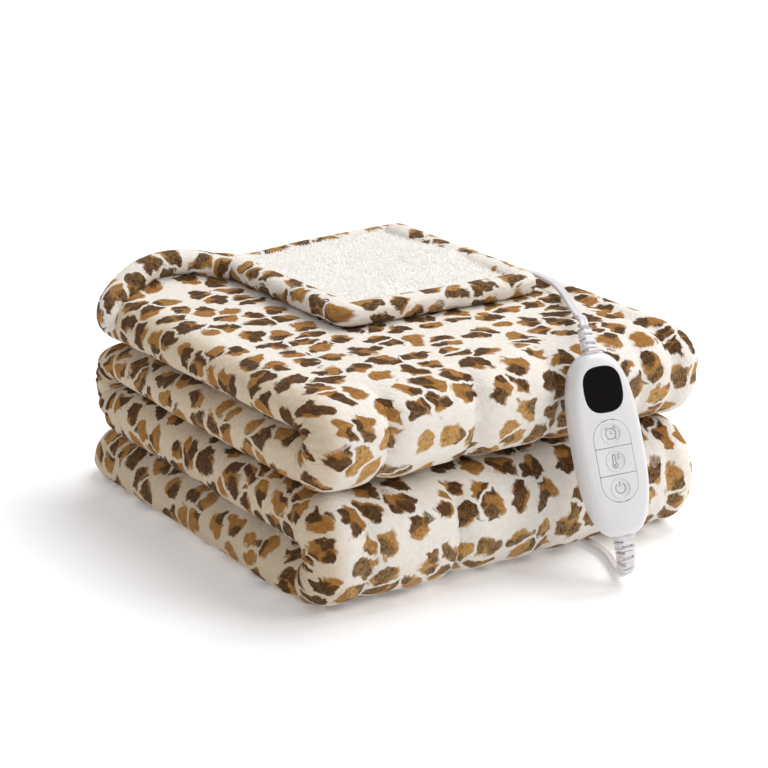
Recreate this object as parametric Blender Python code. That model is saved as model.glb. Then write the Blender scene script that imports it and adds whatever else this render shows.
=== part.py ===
"""Electric heated throw, folded into a stack, with its hand controller and mains lead.

Metres, +Z up. The stack's long front rolls face -Y and the floor is z = 0. Everything is placed
from a frame on the floor below the middle of the stack's front, where y = 0 is the front of the
lower roll, and an empty carries that frame to the middle of the whole object.
"""

import math

import bmesh
import bpy
from mathutils import Matrix, Vector

# ---- driving dimensions ------------------------------------------------------------------
THROW_WIDTH = 1.270                 # the throw is cut 50 x 60 in
STACK_WIDTH = THROW_WIDTH / 4       # folded in quarters across, so one layer is four sheets
STACK_DEPTH = 0.330
STACK_FRONT_Y = -0.144236           # puts the middle of the object over the origin

# heights where one layer ends and the next begins: name, at the front, at the back
LEVELS = (
    ("floor", 0.0, 0.0),
    ("first", 0.037, 0.037),
    ("second", 0.080, 0.080),
    ("third", 0.121, 0.109),
    ("top", 0.149, 0.147),
)
LAYER_GAP = 0.0016
FRONT_ROLL = 0.038                  # how far a front fold's roundness reaches back
BACK_ROLL = 0.030
BOTTOM_TAIL = 0.019                 # the bottom layer's free end shows behind the stack
LEFT_ROUND = 0.024                  # roundness of the folds on the left side
RIGHT_ROUND = 0.018                 # and of the hemmed edges on the right
THIN_EDGE = 0.16                    # share of a layer's thickness left where its edge ends
CORNER_ROUND = 0.030                # roundness, seen from above, of the free ends' back corners
HEM_GROOVE = (0.132, 0.0060, 0.0030)  # the wide hem on the right: its inner edge, half width, depth

# stitched channels of the heating wire, which pinch the front rolls: middle and share of depth
UPPER_CHANNELS = ((-0.102, 1.0), (-0.033, 1.0), (0.033, 0.7), (0.104, 0.5), (0.132, 0.9))
LOWER_CHANNELS = ((-0.119, 0.7), (-0.045, 1.0), (0.028, 0.7), (0.132, 1.0))
CHANNEL_DEPTH = 0.0045
CHANNEL_HALF = 0.009

# the top layer's end, turned back over the stack with its curly side up
FLAP_X = (-0.060, 0.115)
FLAP_Y = (0.132, 0.329)
FLAP_SHEET = 0.0085
HEM_THICK = 0.0150
HEM_WIDE = 0.0180
FLAP_LIFT = 0.0008                  # the flap lies this far above the layer below

# the hand controller: an oval housing in two shells
CONTROLLER = dict(
    long=0.125, wide=0.0492, front=0.0110, back=0.0110, power=2.7, seam=0.0003,
    middle=(0.0485, -0.0275, 0.0931), lean=0.370, tilt=-0.065, yaw=-0.240,
)
KEYS = (("key_timer", 0.0075), ("key_heat", -0.0110), ("key_power", -0.0295))
KEY_PITCH = 0.0185
KEY_WIDE = 0.0262
KEY_TOP = 0.0112
KEY_THICK = 0.0030
KEY_TRAVEL = 0.0008
KEY_GAP = 0.0004
DISH_RADIUS = 0.0076
DISH_DEPTH = 0.0010
DISPLAY = dict(middle=0.0372, wide=0.0275, long=0.0310, thick=0.0016, power=2.7)
FIT_GAP = 0.0003

# the flat two-core cord and its strain reliefs, which start this deep in the housing's ends
CORD_RADIUS = 0.0030
CORD_STEP = 0.0075
BOOT_SEAT = 0.004
SEAT_REACH = 0.020
BOOT_RIBS = 5
COIL_RADIUS = 0.035
COIL_WIDE = 0.0195
COIL_HIGH = 0.0128
COIL_MIDDLE = (0.025, 0.404)
PLUG_BODY = (0.034, 0.026, 0.017)
PLUG_CORNER = 0.0045
BLADE = (0.0165, 0.0016, 0.0064)
BLADE_SPACING = 0.0127

# routes, each a list of points chosen by hand: the strain reliefs in the controller's own frame,
# x across it and z up its length from its middle, and the cords in the stack's frame
BOOTS = (
    ("boot_top", 1, 0.0064, 0.0046,
     ((0.0, 0.0, 0.0585), (0.0, 0.0, 0.0615), (0.0, 0.0, 0.0650), (0.0012, 0.0050, 0.0780))),
    ("boot_bottom", -1, 0.0078, 0.0050,
     ((0.0, 0.0, -0.0585), (0.0, 0.0, -0.0615), (0.0, 0.0, -0.0650), (0.0, 0.0020, -0.0758),
      (0.0006, 0.0075, -0.0834), (0.0009, 0.0148, -0.0856))),
)
LEAD_ROUTE = (
    (0.0532, 0.0061, 0.1650), (0.0556, 0.0098, 0.1678), (0.0648, 0.0240, 0.1664),
    (0.0780, 0.0440, 0.1603),
    (0.0970, 0.0760, 0.1562), (0.1165, 0.1095, 0.1533), (0.1280, 0.1350, 0.1526),
    (0.1318, 0.1530, 0.1526), (0.1320, 0.1660, 0.1530), (0.1270, 0.1740, 0.1538),
    (0.1195, 0.1765, 0.1545),
)
MAINS_ROUTE = (
    (0.0510, -0.0448, 0.0075), (0.0532, -0.0398, 0.0046), (0.0602, -0.0245, 0.0032),
    (0.0670, -0.0085, 0.0032), (0.0703, 0.0120, 0.0032), (0.0708, 0.0500, 0.0032),
    (0.0690, 0.1500, 0.0032), (0.0668, 0.2500, 0.0032), (0.0660, 0.3400, 0.0032),
    (0.0660, 0.3800, 0.0032),
)
TUNNEL = dict(start_y=-0.010, half_wide=0.0048, high=0.0075)
# the hollow's section: shares of its half width and height, from below the floor over its arch
TUNNEL_SECTION = ((1, -0.6), (1, 0.45), (0.62, 0.86), (0, 1), (-0.62, 0.86), (-1, 0.45), (-1, -0.6))


# ---- small helpers -----------------------------------------------------------------------
def lerp(a, b, t):
    return a + (b - a) * t


def smooth_step(low, high, value):
    t = min(1.0, max(0.0, (value - low) / (high - low)))
    return t * t * (3 - 2 * t)


def bump(value, middle, half):
    return math.exp(-(((value - middle) / half) ** 2))


def clear_scene():
    for old in list(bpy.data.objects):
        bpy.data.objects.remove(old, do_unlink=True)


def material(name, colour, roughness, metallic=0.0):
    made = bpy.data.materials.new(name)
    made.use_nodes = True
    shader = made.node_tree.nodes["Principled BSDF"]
    shader.inputs["Base Color"].default_value = (*colour, 1.0)
    shader.inputs["Roughness"].default_value = roughness
    shader.inputs["Metallic"].default_value = metallic
    return made


def add_empty(name, parent=None, location=(0, 0, 0), rotation=(0, 0, 0)):
    made = bpy.data.objects.new(name, None)
    made.location = location
    made.rotation_euler = rotation
    made.parent = parent
    bpy.context.scene.collection.objects.link(made)
    return made


def add_mesh(name, shape, parent, finish=None, sharp_degrees=40):
    """A mesh object from a bmesh, with its faces turned outwards."""
    bmesh.ops.recalc_face_normals(shape, faces=shape.faces)
    mesh = bpy.data.meshes.new(name)
    shape.to_mesh(mesh)
    shape.free()
    mesh.shade_smooth()
    mesh.set_sharp_from_angle(angle=math.radians(sharp_degrees))
    if finish:
        mesh.materials.append(finish)
    made = bpy.data.objects.new(name, mesh)
    made.parent = parent
    bpy.context.scene.collection.objects.link(made)
    return made


def as_helper(helper):
    helper.hide_render = True
    helper.display_type = "WIRE"
    return helper


def boolean(target, helper, operation):
    modifier = target.modifiers.new(helper.name, "BOOLEAN")
    modifier.operation = operation
    modifier.object = as_helper(helper)
    modifier.solver = "EXACT"


def skin_rings(rings, closed_ends=True):
    """Joins equal closed rings of points one after another and fills the two ends."""
    shape = bmesh.new()
    rows = [[shape.verts.new(point) for point in ring] for ring in rings]
    count = len(rows[0])
    for row, after in zip(rows, rows[1:]):
        for i in range(count):
            j = (i + 1) % count
            shape.faces.new((row[i], row[j], after[j], after[i]))
    if closed_ends:
        shape.faces.new(rows[0])
        shape.faces.new(rows[-1])
    return shape


def smooth_route(points, step):
    """Points about a step apart on one smooth curve through the given ones."""
    knots = [Vector(point) for point in points]
    knots = [knots[0] * 2 - knots[1], *knots, knots[-1] * 2 - knots[-2]]
    made = []
    for a, b, c, d in zip(knots, knots[1:], knots[2:], knots[3:]):
        count = max(1, round((c - b).length / step))
        for i in range(count):
            t = i / count
            made.append(
                0.5 * (2 * b + (c - a) * t + (2 * a - 5 * b + 4 * c - d) * t**2
                       + (3 * b - a - 3 * c + d) * t**3)
            )
    made.append(knots[-2])
    return made


def swept_rings(path, radii, sides):
    """Round rings square to a path, each turned no more from the one before than the path is."""
    rings = []
    side = None
    for i, (point, radius) in enumerate(zip(path, radii)):
        ahead = (path[min(i + 1, len(path) - 1)] - path[max(i - 1, 0)]).normalized()
        if side is None:
            side = ahead.orthogonal()
        side = (side - ahead * side.dot(ahead)).normalized()
        above = side.cross(ahead)
        rings.append([
            point + (side * math.cos(a) + above * math.sin(a)) * radius
            for a in (2 * math.pi * k / sides for k in range(sides))
        ])
    return rings


# ---- the folded throw --------------------------------------------------------------------
def level(index, x, y):
    """Height of the boundary above layer index - 1, a little uneven as folded cloth is."""
    _, front, back = LEVELS[index]
    height = lerp(front, back, min(1.0, max(0.0, y / STACK_DEPTH)))
    if 0 < index < 4:
        height += 0.0012 * math.sin(21 * x + 1.7 * index) * math.cos(13 * y + index)
    if index == 4:
        groove, half, deep = HEM_GROOVE
        height -= 0.0012 * (1 - math.cos(26 * x + 9 * y)) / 2 + deep * bump(x, groove, half)
    return height


def layer_faces(layer, x, y):
    """Heights of the underside and the top of one layer."""
    low = level(layer, x, y) + (LAYER_GAP / 2 if layer > 0 else 0)
    high = level(layer + 1, x, y) - (LAYER_GAP / 2 if layer < 3 else 0)
    return low, high


def fold_faces(layer, x, angle):
    """Outer and inner point, as (y, z), of the fold that joins a layer to the next one up."""
    at_front = layer % 2 == 0
    reach, way = (FRONT_ROLL, -1) if at_front else (BACK_ROLL, 1)
    axis_y = reach if at_front else STACK_DEPTH - reach
    low, _ = layer_faces(layer, x, axis_y)
    _, high = layer_faces(layer + 1, x, axis_y)
    middle = level(layer + 1, x, axis_y)
    tall = (high - middle) if angle > 0 else (middle - low)
    outer = (axis_y + way * reach * math.cos(angle), middle + tall * math.sin(angle))
    inner = (
        axis_y + way * LAYER_GAP / 2 * math.cos(angle),
        middle + LAYER_GAP / 2 * math.sin(angle),
    )
    return outer, inner


def channel_depth(x, channels):
    return CHANNEL_DEPTH * sum(share * bump(x, middle, CHANNEL_HALF) for middle, share in channels)


def bundle_stations():
    """Places along the back-and-forth strip: (layer, y or None, fold angle or None, end share)."""
    layer_steps, fold_steps = 6, 8
    stations = []
    tail = STACK_DEPTH + BOTTOM_TAIL
    end_angles = [math.radians(a) for a in (80, 55, 28)]
    end_round = 0.018
    for angle in end_angles:
        stations.append((0, tail - end_round * (1 - math.sin(angle)), None, math.cos(angle)))
    for layer in range(4):
        front, back = FRONT_ROLL, STACK_DEPTH - BACK_ROLL
        first, last = (back, front) if layer % 2 == 0 else (front, back)
        if layer == 0:
            first = tail - end_round
        if layer == 3:
            last = STACK_DEPTH - end_round
        for i in range(layer_steps + 1):
            stations.append((layer, lerp(first, last, i / layer_steps), None, 1.0))
        if layer < 3:
            for i in range(1, fold_steps):
                angle = math.pi * (i / fold_steps - 0.5)
                stations.append((layer, None, angle, 1.0))
    for angle in reversed(end_angles):
        stations.append((3, STACK_DEPTH - end_round * (1 - math.sin(angle)), None, math.cos(angle)))
    return stations


def bundle_pair(station, x):
    """The two points, as (y, z), across the strip at a station, first the side that is out in
    front folds."""
    layer, y, angle, _ = station
    if angle is None:
        low, high = layer_faces(layer, x, y)
        return ((y, low), (y, high)) if layer % 2 == 0 else ((y, high), (y, low))
    outer, inner = fold_faces(layer, x, angle)
    if layer % 2 == 1:
        return inner, outer
    pinch = channel_depth(x, LOWER_CHANNELS if layer == 0 else UPPER_CHANNELS) * math.cos(angle)
    return (outer[0] + pinch, outer[1] - pinch * 0.3 * math.sin(angle)), inner


def edge_places():
    """x of each section and the share of the thickness there, from left to right."""
    half = STACK_WIDTH / 2
    places = []
    for degrees in (0, 22, 42, 64, 90):
        turn = math.radians(degrees)
        share = max(THIN_EDGE, math.sin(turn))
        places.append((-half + LEFT_ROUND * (1 - math.cos(turn)), share))
    inside = (
        -0.128, -0.119, -0.110, -0.102, -0.093, -0.075, -0.054, -0.045, -0.036, -0.030, -0.021,
        0.000, 0.019, 0.028, 0.035, 0.044, 0.070, 0.095, 0.104, 0.113, 0.122, 0.131,
    )
    places += [(x, 1.0) for x in inside]
    for degrees in (90, 62, 40, 20, 0):
        turn = math.radians(degrees)
        share = max(THIN_EDGE, math.sin(turn))
        places.append((half - RIGHT_ROUND * (1 - math.cos(turn)), share))
    return places


def corner_inset(x, y):
    """How far a free end is drawn forwards near the stack's sides."""
    over = CORNER_ROUND - (STACK_WIDTH / 2 - abs(x))
    if over <= 0:
        return 0.0
    inset = CORNER_ROUND - math.sqrt(CORNER_ROUND**2 - min(over, CORNER_ROUND * 0.97) ** 2)
    return inset * smooth_step(STACK_DEPTH - 0.065, STACK_DEPTH, y)


def bundle_shape():
    """The back-and-forth strip as one closed skin, its side edges rounded layer by layer."""
    shape = bmesh.new()
    stations = bundle_stations()
    rows = []
    for x, share in edge_places():
        one_side, other_side = [], []
        for station in stations:
            (ya, za), (yb, zb) = bundle_pair(station, x)
            middle = Vector(((x, (ya + yb) / 2, (za + zb) / 2)))
            half = Vector((0, (ya - yb) / 2, (za - zb) / 2)) * share * station[3]
            if station[0] in (0, 3) and station[2] is None:
                middle.y -= corner_inset(x, middle.y)
            if station[0] == 0 and station[2] is None:
                # the bottom layer keeps its underside on the floor up to where its edge turns up
                middle.z = min(middle.z, abs(half.z) + 0.55 * (middle.z - abs(half.z)))
            one_side.append(shape.verts.new(middle + half))
            other_side.append(shape.verts.new(middle - half))
        rows.append((one_side, other_side))
    last = len(stations) - 1
    for (a, b), (c, d) in zip(rows, rows[1:]):
        for j in range(last):
            shape.faces.new((a[j], a[j + 1], c[j + 1], c[j]))
            shape.faces.new((b[j + 1], b[j], d[j], d[j + 1]))
        shape.faces.new((b[0], a[0], c[0], d[0]))
        shape.faces.new((a[last], b[last], d[last], c[last]))
    for a, b in (rows[0], rows[-1]):
        for j in range(last):
            shape.faces.new((a[j], b[j], b[j + 1], a[j + 1]))
    return shape


def flap_shape():
    """The turned-back end: a thin sheet in a padded hem, open to the stack at the front and
    sides and grown into the top layer along the back."""
    def places(low, high):
        wide = high - low
        edge = [HEM_WIDE * share for share in (0.0, 0.10, 0.30, 0.60, 0.85, 1.05)]
        inner = [lerp(HEM_WIDE * 1.5, wide - HEM_WIDE * 1.5, i / 6) for i in range(7)]
        low_side = [low + d for d in edge + inner]
        return low_side + [high - d for d in reversed(edge)]

    def thickness(x, y):
        near = min(x - FLAP_X[0], FLAP_X[1] - x, y - FLAP_Y[0], FLAP_Y[1] - y)
        roll = max(0.0, 1 - ((near - HEM_WIDE / 2) / (HEM_WIDE / 2)) ** 2) if near < HEM_WIDE else 0
        belly = 0.0045 * bump(x, 0.085, 0.045) * bump(y, 0.220, 0.060)
        sheet = FLAP_SHEET + belly
        inside = smooth_step(HEM_WIDE * 0.5, HEM_WIDE * 1.2, near)
        return max(0.0015, lerp(HEM_THICK * math.sqrt(roll), sheet, inside))

    def underside(x, y):
        into_top = 0.006 * smooth_step(FLAP_Y[1] - 0.020, FLAP_Y[1] - 0.006, y)
        rounded_up = max(0.0, 1 - min(x - FLAP_X[0], y - FLAP_Y[0], FLAP_X[1] - x) / 0.006)
        arch = 0.010 * bump(x, FLAP_X[0], 0.030) * smooth_step(0.250, 0.310, y)
        return level(4, x, y) + FLAP_LIFT + 0.004 * rounded_up**2 + arch - into_top

    xs, ys = places(*FLAP_X), places(*FLAP_Y)
    shape = bmesh.new()
    below = [[shape.verts.new((x, y, underside(x, y))) for y in ys] for x in xs]
    above = [[shape.verts.new((x, y, underside(x, y) + thickness(x, y))) for y in ys] for x in xs]
    for grid in (below, above):
        for row, after in zip(grid, grid[1:]):
            for j in range(len(ys) - 1):
                shape.faces.new((row[j], row[j + 1], after[j + 1], after[j]))
    rim = [(i, 0) for i in range(len(xs))] + [(len(xs) - 1, j) for j in range(1, len(ys))]
    rim += [(i, len(ys) - 1) for i in reversed(range(len(xs) - 1))]
    rim += [(0, j) for j in reversed(range(1, len(ys) - 1))]
    for (i, j), (m, n) in zip(rim, rim[1:] + rim[:1]):
        shape.faces.new((below[i][j], below[m][n], above[m][n], above[i][j]))
    return shape


def lip_shape():
    """The rolled back edge that runs from the flap's hem round the left back corner."""
    route = smooth_route(
        ((-0.1450, 0.3040, 0.1180), (-0.1450, 0.3120, 0.1320), (-0.1350, 0.3180, 0.1450),
         (-0.1130, 0.3210, 0.1550), (-0.0860, 0.3200, 0.1580), (-0.0620, 0.3160, 0.1560),
         (-0.0510, 0.3050, 0.1540)),
        0.010,
    )
    last = len(route) - 1
    radii = [0.0108 * (0.80 + 0.20 * math.sin(math.pi * i / last)) for i in range(last + 1)]
    return skin_rings(swept_rings(route, radii, 10))


def tunnel_shape():
    """The hollow in the underside where the soft stack lies over the mains cord."""
    start = next(i for i, point in enumerate(MAINS_ROUTE) if point[1] > TUNNEL["start_y"])
    route = [Vector((x, y, 0)) for x, y, _ in MAINS_ROUTE[start:]]
    rings = []
    for i, point in enumerate(route):
        ahead = (route[min(i + 1, len(route) - 1)] - route[max(i - 1, 0)]).normalized()
        side = Vector((ahead.y, -ahead.x, 0)) * TUNNEL["half_wide"]
        above = Vector((0, 0, TUNNEL["high"]))
        rings.append([point + side * across + above * up for across, up in TUNNEL_SECTION])
    return skin_rings(rings)


def add_blanket(parent):
    finish = material("leopard_plush", (0.62, 0.48, 0.33), 0.95)
    blanket = add_mesh("blanket", bundle_shape(), parent, finish, sharp_degrees=180)
    boolean(blanket, add_mesh("flap_form", flap_shape(), parent), "UNION")
    boolean(blanket, add_mesh("lip_form", lip_shape(), parent), "UNION")
    boolean(blanket, add_mesh("tunnel_cutter", tunnel_shape(), parent), "DIFFERENCE")
    return blanket


# ---- the hand controller -----------------------------------------------------------------
def oval(wide, long, power, count=72):
    """Points of a rounded oval in the x-z plane."""
    points = []
    for i in range(count):
        angle = 2 * math.pi * i / count
        c, s = math.cos(angle), math.sin(angle)
        points.append((
            wide / 2 * math.copysign(abs(c) ** (2 / power), c),
            long / 2 * math.copysign(abs(s) ** (2 / power), s),
        ))
    return points


def shell_shape(depths_and_scales, way):
    size = CONTROLLER
    rings = []
    for depth, inset in depths_and_scales:
        outline = oval(size["wide"] - 2 * inset, size["long"] - 2 * inset, size["power"])
        rings.append([(x, way * depth, z) for x, z in outline])
    return skin_rings(rings)


def prism(outline, near, far):
    """An outline in the x-z plane, drawn out from y = near to y = far."""
    return skin_rings([[(x, near, z) for x, z in outline], [(x, far, z) for x, z in outline]])


def obround(wide, long, middle, count=12):
    points = []
    radius = wide / 2
    straight = long / 2 - radius
    for way in (1, -1):
        for i in range(count + 1):
            angle = math.pi * i / count
            points.append((
                way * radius * math.cos(angle),
                middle + way * (straight + radius * math.sin(angle)),
            ))
    return points


def key_outline(low, high, field_low, field_high):
    """The share of the obround key field that lies between two heights."""
    radius = KEY_WIDE / 2
    points = []
    for way in (1, -1):
        steps = 14
        for i in range(steps + 1):
            z = lerp(low, high, i / steps) if way == 1 else lerp(high, low, i / steps)
            over = max(0.0, z - (field_high - radius), (field_low + radius) - z)
            points.append((way * math.sqrt(max(radius**2 - over**2, 0.0002**2)), z))
    return points


def add_controller(parent):
    size = CONTROLLER
    body = material("white_gloss_plastic", (0.90, 0.89, 0.88), 0.22)
    black = material("black_display", (0.010, 0.009, 0.010), 0.12)
    front_profile = (
        (size["seam"] / 2, 0.0), (0.0035, 0.0002), (0.0065, 0.0009), (0.0088, 0.0021),
        (0.0103, 0.0036), (size["front"], 0.0058),
    )
    back_profile = (
        (size["seam"] / 2, 0.0), (0.0045, 0.0004), (0.0080, 0.0018), (0.0100, 0.0038),
        (size["back"], 0.0070),
    )
    front = add_mesh("controller_front", shell_shape(front_profile, -1), parent, body)
    back = add_mesh("controller_back", shell_shape(back_profile, 1), parent, body)

    field_low = KEYS[-1][1] - KEY_PITCH / 2
    field_high = KEYS[0][1] + KEY_PITCH / 2
    pocket_floor = -(KEY_TOP - KEY_THICK - KEY_TRAVEL - KEY_GAP)
    out = -size["front"] - 0.004
    pocket = obround(
        KEY_WIDE + 2 * FIT_GAP, field_high - field_low + 2 * FIT_GAP, (field_low + field_high) / 2
    )
    cutter = add_mesh("key_pocket_cutter", prism(pocket, pocket_floor, out), parent)
    boolean(front, cutter, "DIFFERENCE")

    window = oval(DISPLAY["wide"], DISPLAY["long"], DISPLAY["power"], 32)
    window = [(x, z + DISPLAY["middle"]) for x, z in window]
    window_back = -size["front"] + DISPLAY["thick"]
    add_mesh("display", prism(window, window_back, -size["front"]), parent, black)
    room = 2 * FIT_GAP
    recess = oval(DISPLAY["wide"] + room, DISPLAY["long"] + room, DISPLAY["power"], 32)
    recess = [(x, z + DISPLAY["middle"]) for x, z in recess]
    cutter = add_mesh("display_cutter", prism(recess, window_back + FIT_GAP, out), parent)
    boolean(front, cutter, "DIFFERENCE")

    for name, middle in KEYS:
        add_key(name, middle, field_low, field_high, parent, body)
    return front, back


def add_key(name, middle, field_low, field_high, parent, finish):
    low = middle - KEY_PITCH / 2 + (KEY_GAP / 2 if middle > KEYS[-1][1] else 0)
    high = middle + KEY_PITCH / 2 - (KEY_GAP / 2 if middle < KEYS[0][1] else 0)
    outline = key_outline(low, high, field_low, field_high)
    key = add_mesh(name, prism(outline, -(KEY_TOP - KEY_THICK), -KEY_TOP), parent, finish)
    ball = (DISH_RADIUS**2 + DISH_DEPTH**2) / (2 * DISH_DEPTH)
    sides = 28
    rings = []
    for reach in (DISH_RADIUS / 3, DISH_RADIUS * 2 / 3, DISH_RADIUS, DISH_RADIUS + 0.0001):
        depth = math.sqrt(ball**2 - min(reach, DISH_RADIUS) ** 2) - (ball - DISH_DEPTH)
        y = -KEY_TOP + depth if reach <= DISH_RADIUS else -KEY_TOP - 0.001
        turns = [2 * math.pi * k / sides for k in range(sides)]
        rings.append([(reach * math.cos(a), y, middle + reach * math.sin(a)) for a in turns])
    boolean(key, add_mesh(name + "_dish_cutter", skin_rings(rings), parent), "DIFFERENCE")


def boot_shape(route, thick, thin):
    """A strain relief that tapers along a short bent path, with ribs round it."""
    path = smooth_route(route, 0.0012)
    last = len(path) - 1
    radii = []
    for i in range(last + 1):
        share = i / last
        rib = 0.5 - 0.5 * math.cos(2 * math.pi * BOOT_RIBS * share) if 0.15 < share < 0.95 else 0
        radii.append(lerp(thick, thin, share) - 0.0011 * rib)
    return skin_rings(swept_rings(path, radii, 14))


def add_boot(name, way, thick, thin, route, shells, parent, finish):
    """The strain relief, and the round seat for its root in both shells."""
    add_mesh(name, boot_shape(route, thick, thin), parent, finish)
    reach = way * (CONTROLLER["long"] / 2 - BOOT_SEAT)
    seat = swept_rings(
        [Vector((0, 0, reach - way * FIT_GAP)), Vector((0, 0, reach + way * SEAT_REACH))],
        [thick + FIT_GAP] * 2, 24,
    )
    for shell in shells:
        cutter = add_mesh(f"{name}_seat_{shell.name}", skin_rings(seat), parent)
        boolean(shell, cutter, "DIFFERENCE")


# ---- cords, coil and plug ----------------------------------------------------------------
def add_cord(name, route, parent, finish):
    data = bpy.data.curves.new(name, "CURVE")
    data.dimensions = "3D"
    data.bevel_depth = CORD_RADIUS
    data.bevel_resolution = 2
    data.use_fill_caps = True
    line = smooth_route(route, CORD_STEP)
    spline = data.splines.new("POLY")
    spline.points.add(len(line) - 1)
    for place, point in zip(spline.points, line):
        place.co = (*point, 1)
    data.materials.append(finish)
    made = bpy.data.objects.new(name, data)
    made.parent = parent
    bpy.context.scene.collection.objects.link(made)
    return made


def add_coil(parent, finish):
    """The outer form of the wound lead: a turned ring lying on the floor."""
    corner = 0.003
    section = []
    side = COIL_WIDE / 2 - corner
    for cx, cz, first in (
        (side, COIL_HIGH - corner, 0), (-side, COIL_HIGH - corner, 90), (-side, corner, 180),
        (side, corner, 270),
    ):
        for degrees in (0, 45, 90):
            a = math.radians(first + degrees)
            section.append((cx + corner * math.cos(a), cz + corner * math.sin(a)))
    shape = bmesh.new()
    loop = [shape.verts.new((COIL_RADIUS + x, 0, z)) for x, z in section]
    edges = [shape.edges.new((loop[i], loop[(i + 1) % len(loop)])) for i in range(len(loop))]
    bmesh.ops.spin(
        shape, geom=loop + edges, cent=(0, 0, 0), axis=(0, 0, 1), angle=2 * math.pi,
        steps=36, use_merge=True,
    )
    coil = add_mesh("mains_coil", shape, parent, finish)
    coil.location = (*COIL_MIDDLE, 0)
    return coil


def box_shape(size, middle, corner, segments=2):
    shape = bmesh.new()
    place = Matrix.Translation(middle) @ Matrix.Diagonal((*size, 1))
    bmesh.ops.create_cube(shape, size=1.0, matrix=place)
    bmesh.ops.bevel(
        shape, geom=shape.edges[:], offset=corner, segments=segments, profile=0.5, affect="EDGES"
    )
    return shape


def add_plug(parent, finish, metal):
    """A flat two-blade plug in line with the cord that leaves the back of the ring, its corner
    against the ring."""
    long, wide, high = PLUG_BODY
    ring = COIL_RADIUS + COIL_WIDE / 2
    line = COIL_RADIUS + 2 * CORD_RADIUS
    corner_reach = ring + PLUG_CORNER + FIT_GAP
    corner_side = line - wide / 2 + PLUG_CORNER
    near = COIL_MIDDLE[0] - math.sqrt(corner_reach**2 - corner_side**2) + PLUG_CORNER
    middle = Vector((near - long / 2, COIL_MIDDLE[1] + line, high / 2))
    add_mesh("plug_body", box_shape(PLUG_BODY, middle, PLUG_CORNER), parent, finish)
    reach, thick, tall = BLADE
    for name, way in (("plug_blade_wide", 1), ("plug_blade_narrow", -1)):
        grow = 0.0016 if way == 1 else 0
        place = middle + Vector((-long / 2 - FIT_GAP - reach / 2, way * BLADE_SPACING / 2, 0))
        add_mesh(name, box_shape((reach, thick, tall + grow), place, 0.0004, 1), parent, metal)


def main():
    clear_scene()
    frame = add_empty("stack_frame", location=(0, STACK_FRONT_Y, 0))
    add_blanket(frame)

    place = CONTROLLER
    turn = (-place["lean"], place["tilt"], place["yaw"])
    housing = add_empty("controller_frame", frame, place["middle"], turn)
    shells = add_controller(housing)

    rubber = material("clear_white_vinyl", (0.80, 0.78, 0.77), 0.35)
    metal = material("nickel_blades", (0.72, 0.71, 0.68), 0.3, 1.0)
    for boot in BOOTS:
        add_boot(*boot, shells, housing, rubber)
    add_cord("lead_cord", LEAD_ROUTE, frame, rubber)
    add_cord("mains_cord", MAINS_ROUTE, frame, rubber)
    add_coil(frame, rubber)
    add_plug(frame, rubber, metal)


main()
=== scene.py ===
import math

import bmesh
import bpy
import numpy as np
from mathutils import Euler, Matrix, Vector, noise


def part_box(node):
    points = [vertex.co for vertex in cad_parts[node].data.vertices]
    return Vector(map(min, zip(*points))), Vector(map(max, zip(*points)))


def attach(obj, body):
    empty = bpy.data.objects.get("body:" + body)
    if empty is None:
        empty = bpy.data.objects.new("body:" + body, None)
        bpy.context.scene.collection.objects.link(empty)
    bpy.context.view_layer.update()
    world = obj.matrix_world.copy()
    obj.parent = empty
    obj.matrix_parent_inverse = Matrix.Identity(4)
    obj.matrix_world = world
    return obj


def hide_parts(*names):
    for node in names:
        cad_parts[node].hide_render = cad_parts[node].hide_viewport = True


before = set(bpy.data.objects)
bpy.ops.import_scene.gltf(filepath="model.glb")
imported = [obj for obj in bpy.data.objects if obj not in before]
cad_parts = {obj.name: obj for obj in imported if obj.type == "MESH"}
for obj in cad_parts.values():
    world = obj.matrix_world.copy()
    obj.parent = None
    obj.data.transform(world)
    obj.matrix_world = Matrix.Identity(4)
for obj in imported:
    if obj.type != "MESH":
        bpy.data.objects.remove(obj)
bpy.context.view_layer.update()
print("frame loaded:", len(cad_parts), "nodes")

# the stack's own frame: y = 0 is the front of the lower roll, and this moves it under the row
stackFront = -0.144236


def inRow(points):
    return [Vector((p[0], p[1] + stackFront, p[2])) for p in points]


# camera, floor and light
photo = dict(
    place=(-0.8871, -1.1789, 0.6311), aim=(0.5209, 0.7922, -0.3179), focal=2345.4, pixels=768,
)
studio = dict(
    reach=24.0, drop=0.0002, floor=0.90, glow=0.16, world=0.55,
    sun=1.75, sunSpread=40, sunFrom=(0.75, 0.25, 1.30),
    key=dict(
        power=12.0, size=1.0, place=(0.9, -1.1, 1.3), aim=(0, 0, 0.05), tint=(1.0, 0.985, 0.965),
    ),
    fill=dict(
        power=1.5, size=1.8, place=(-1.6, -1.2, 1.2), aim=(0, 0, 0.08), tint=(0.97, 0.98, 1.0),
    ),
)


def addCamera():
    data = bpy.data.cameras.new("camera")
    data.sensor_width = 36.0
    data.lens = photo["focal"] / photo["pixels"] * data.sensor_width
    data.clip_start = 0.05
    camera = bpy.data.objects.new("camera", data)
    camera.location = inRow([photo["place"]])[0]
    camera.rotation_euler = Vector(photo["aim"]).to_track_quat("-Z", "Y").to_euler()
    bpy.context.scene.collection.objects.link(camera)
    bpy.context.scene.camera = camera


def addLamp(name):
    lamp = studio[name]
    data = bpy.data.lights.new(name, "AREA")
    data.shape = "DISK"
    data.size = lamp["size"]
    data.energy = lamp["power"]
    data.color = lamp["tint"]
    ray = Vector(lamp["aim"]) - Vector(lamp["place"])
    made = bpy.data.objects.new(name, data)
    made.location = lamp["place"]
    made.rotation_euler = ray.to_track_quat("-Z", "Y").to_euler()
    bpy.context.scene.collection.objects.link(made)


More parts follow.
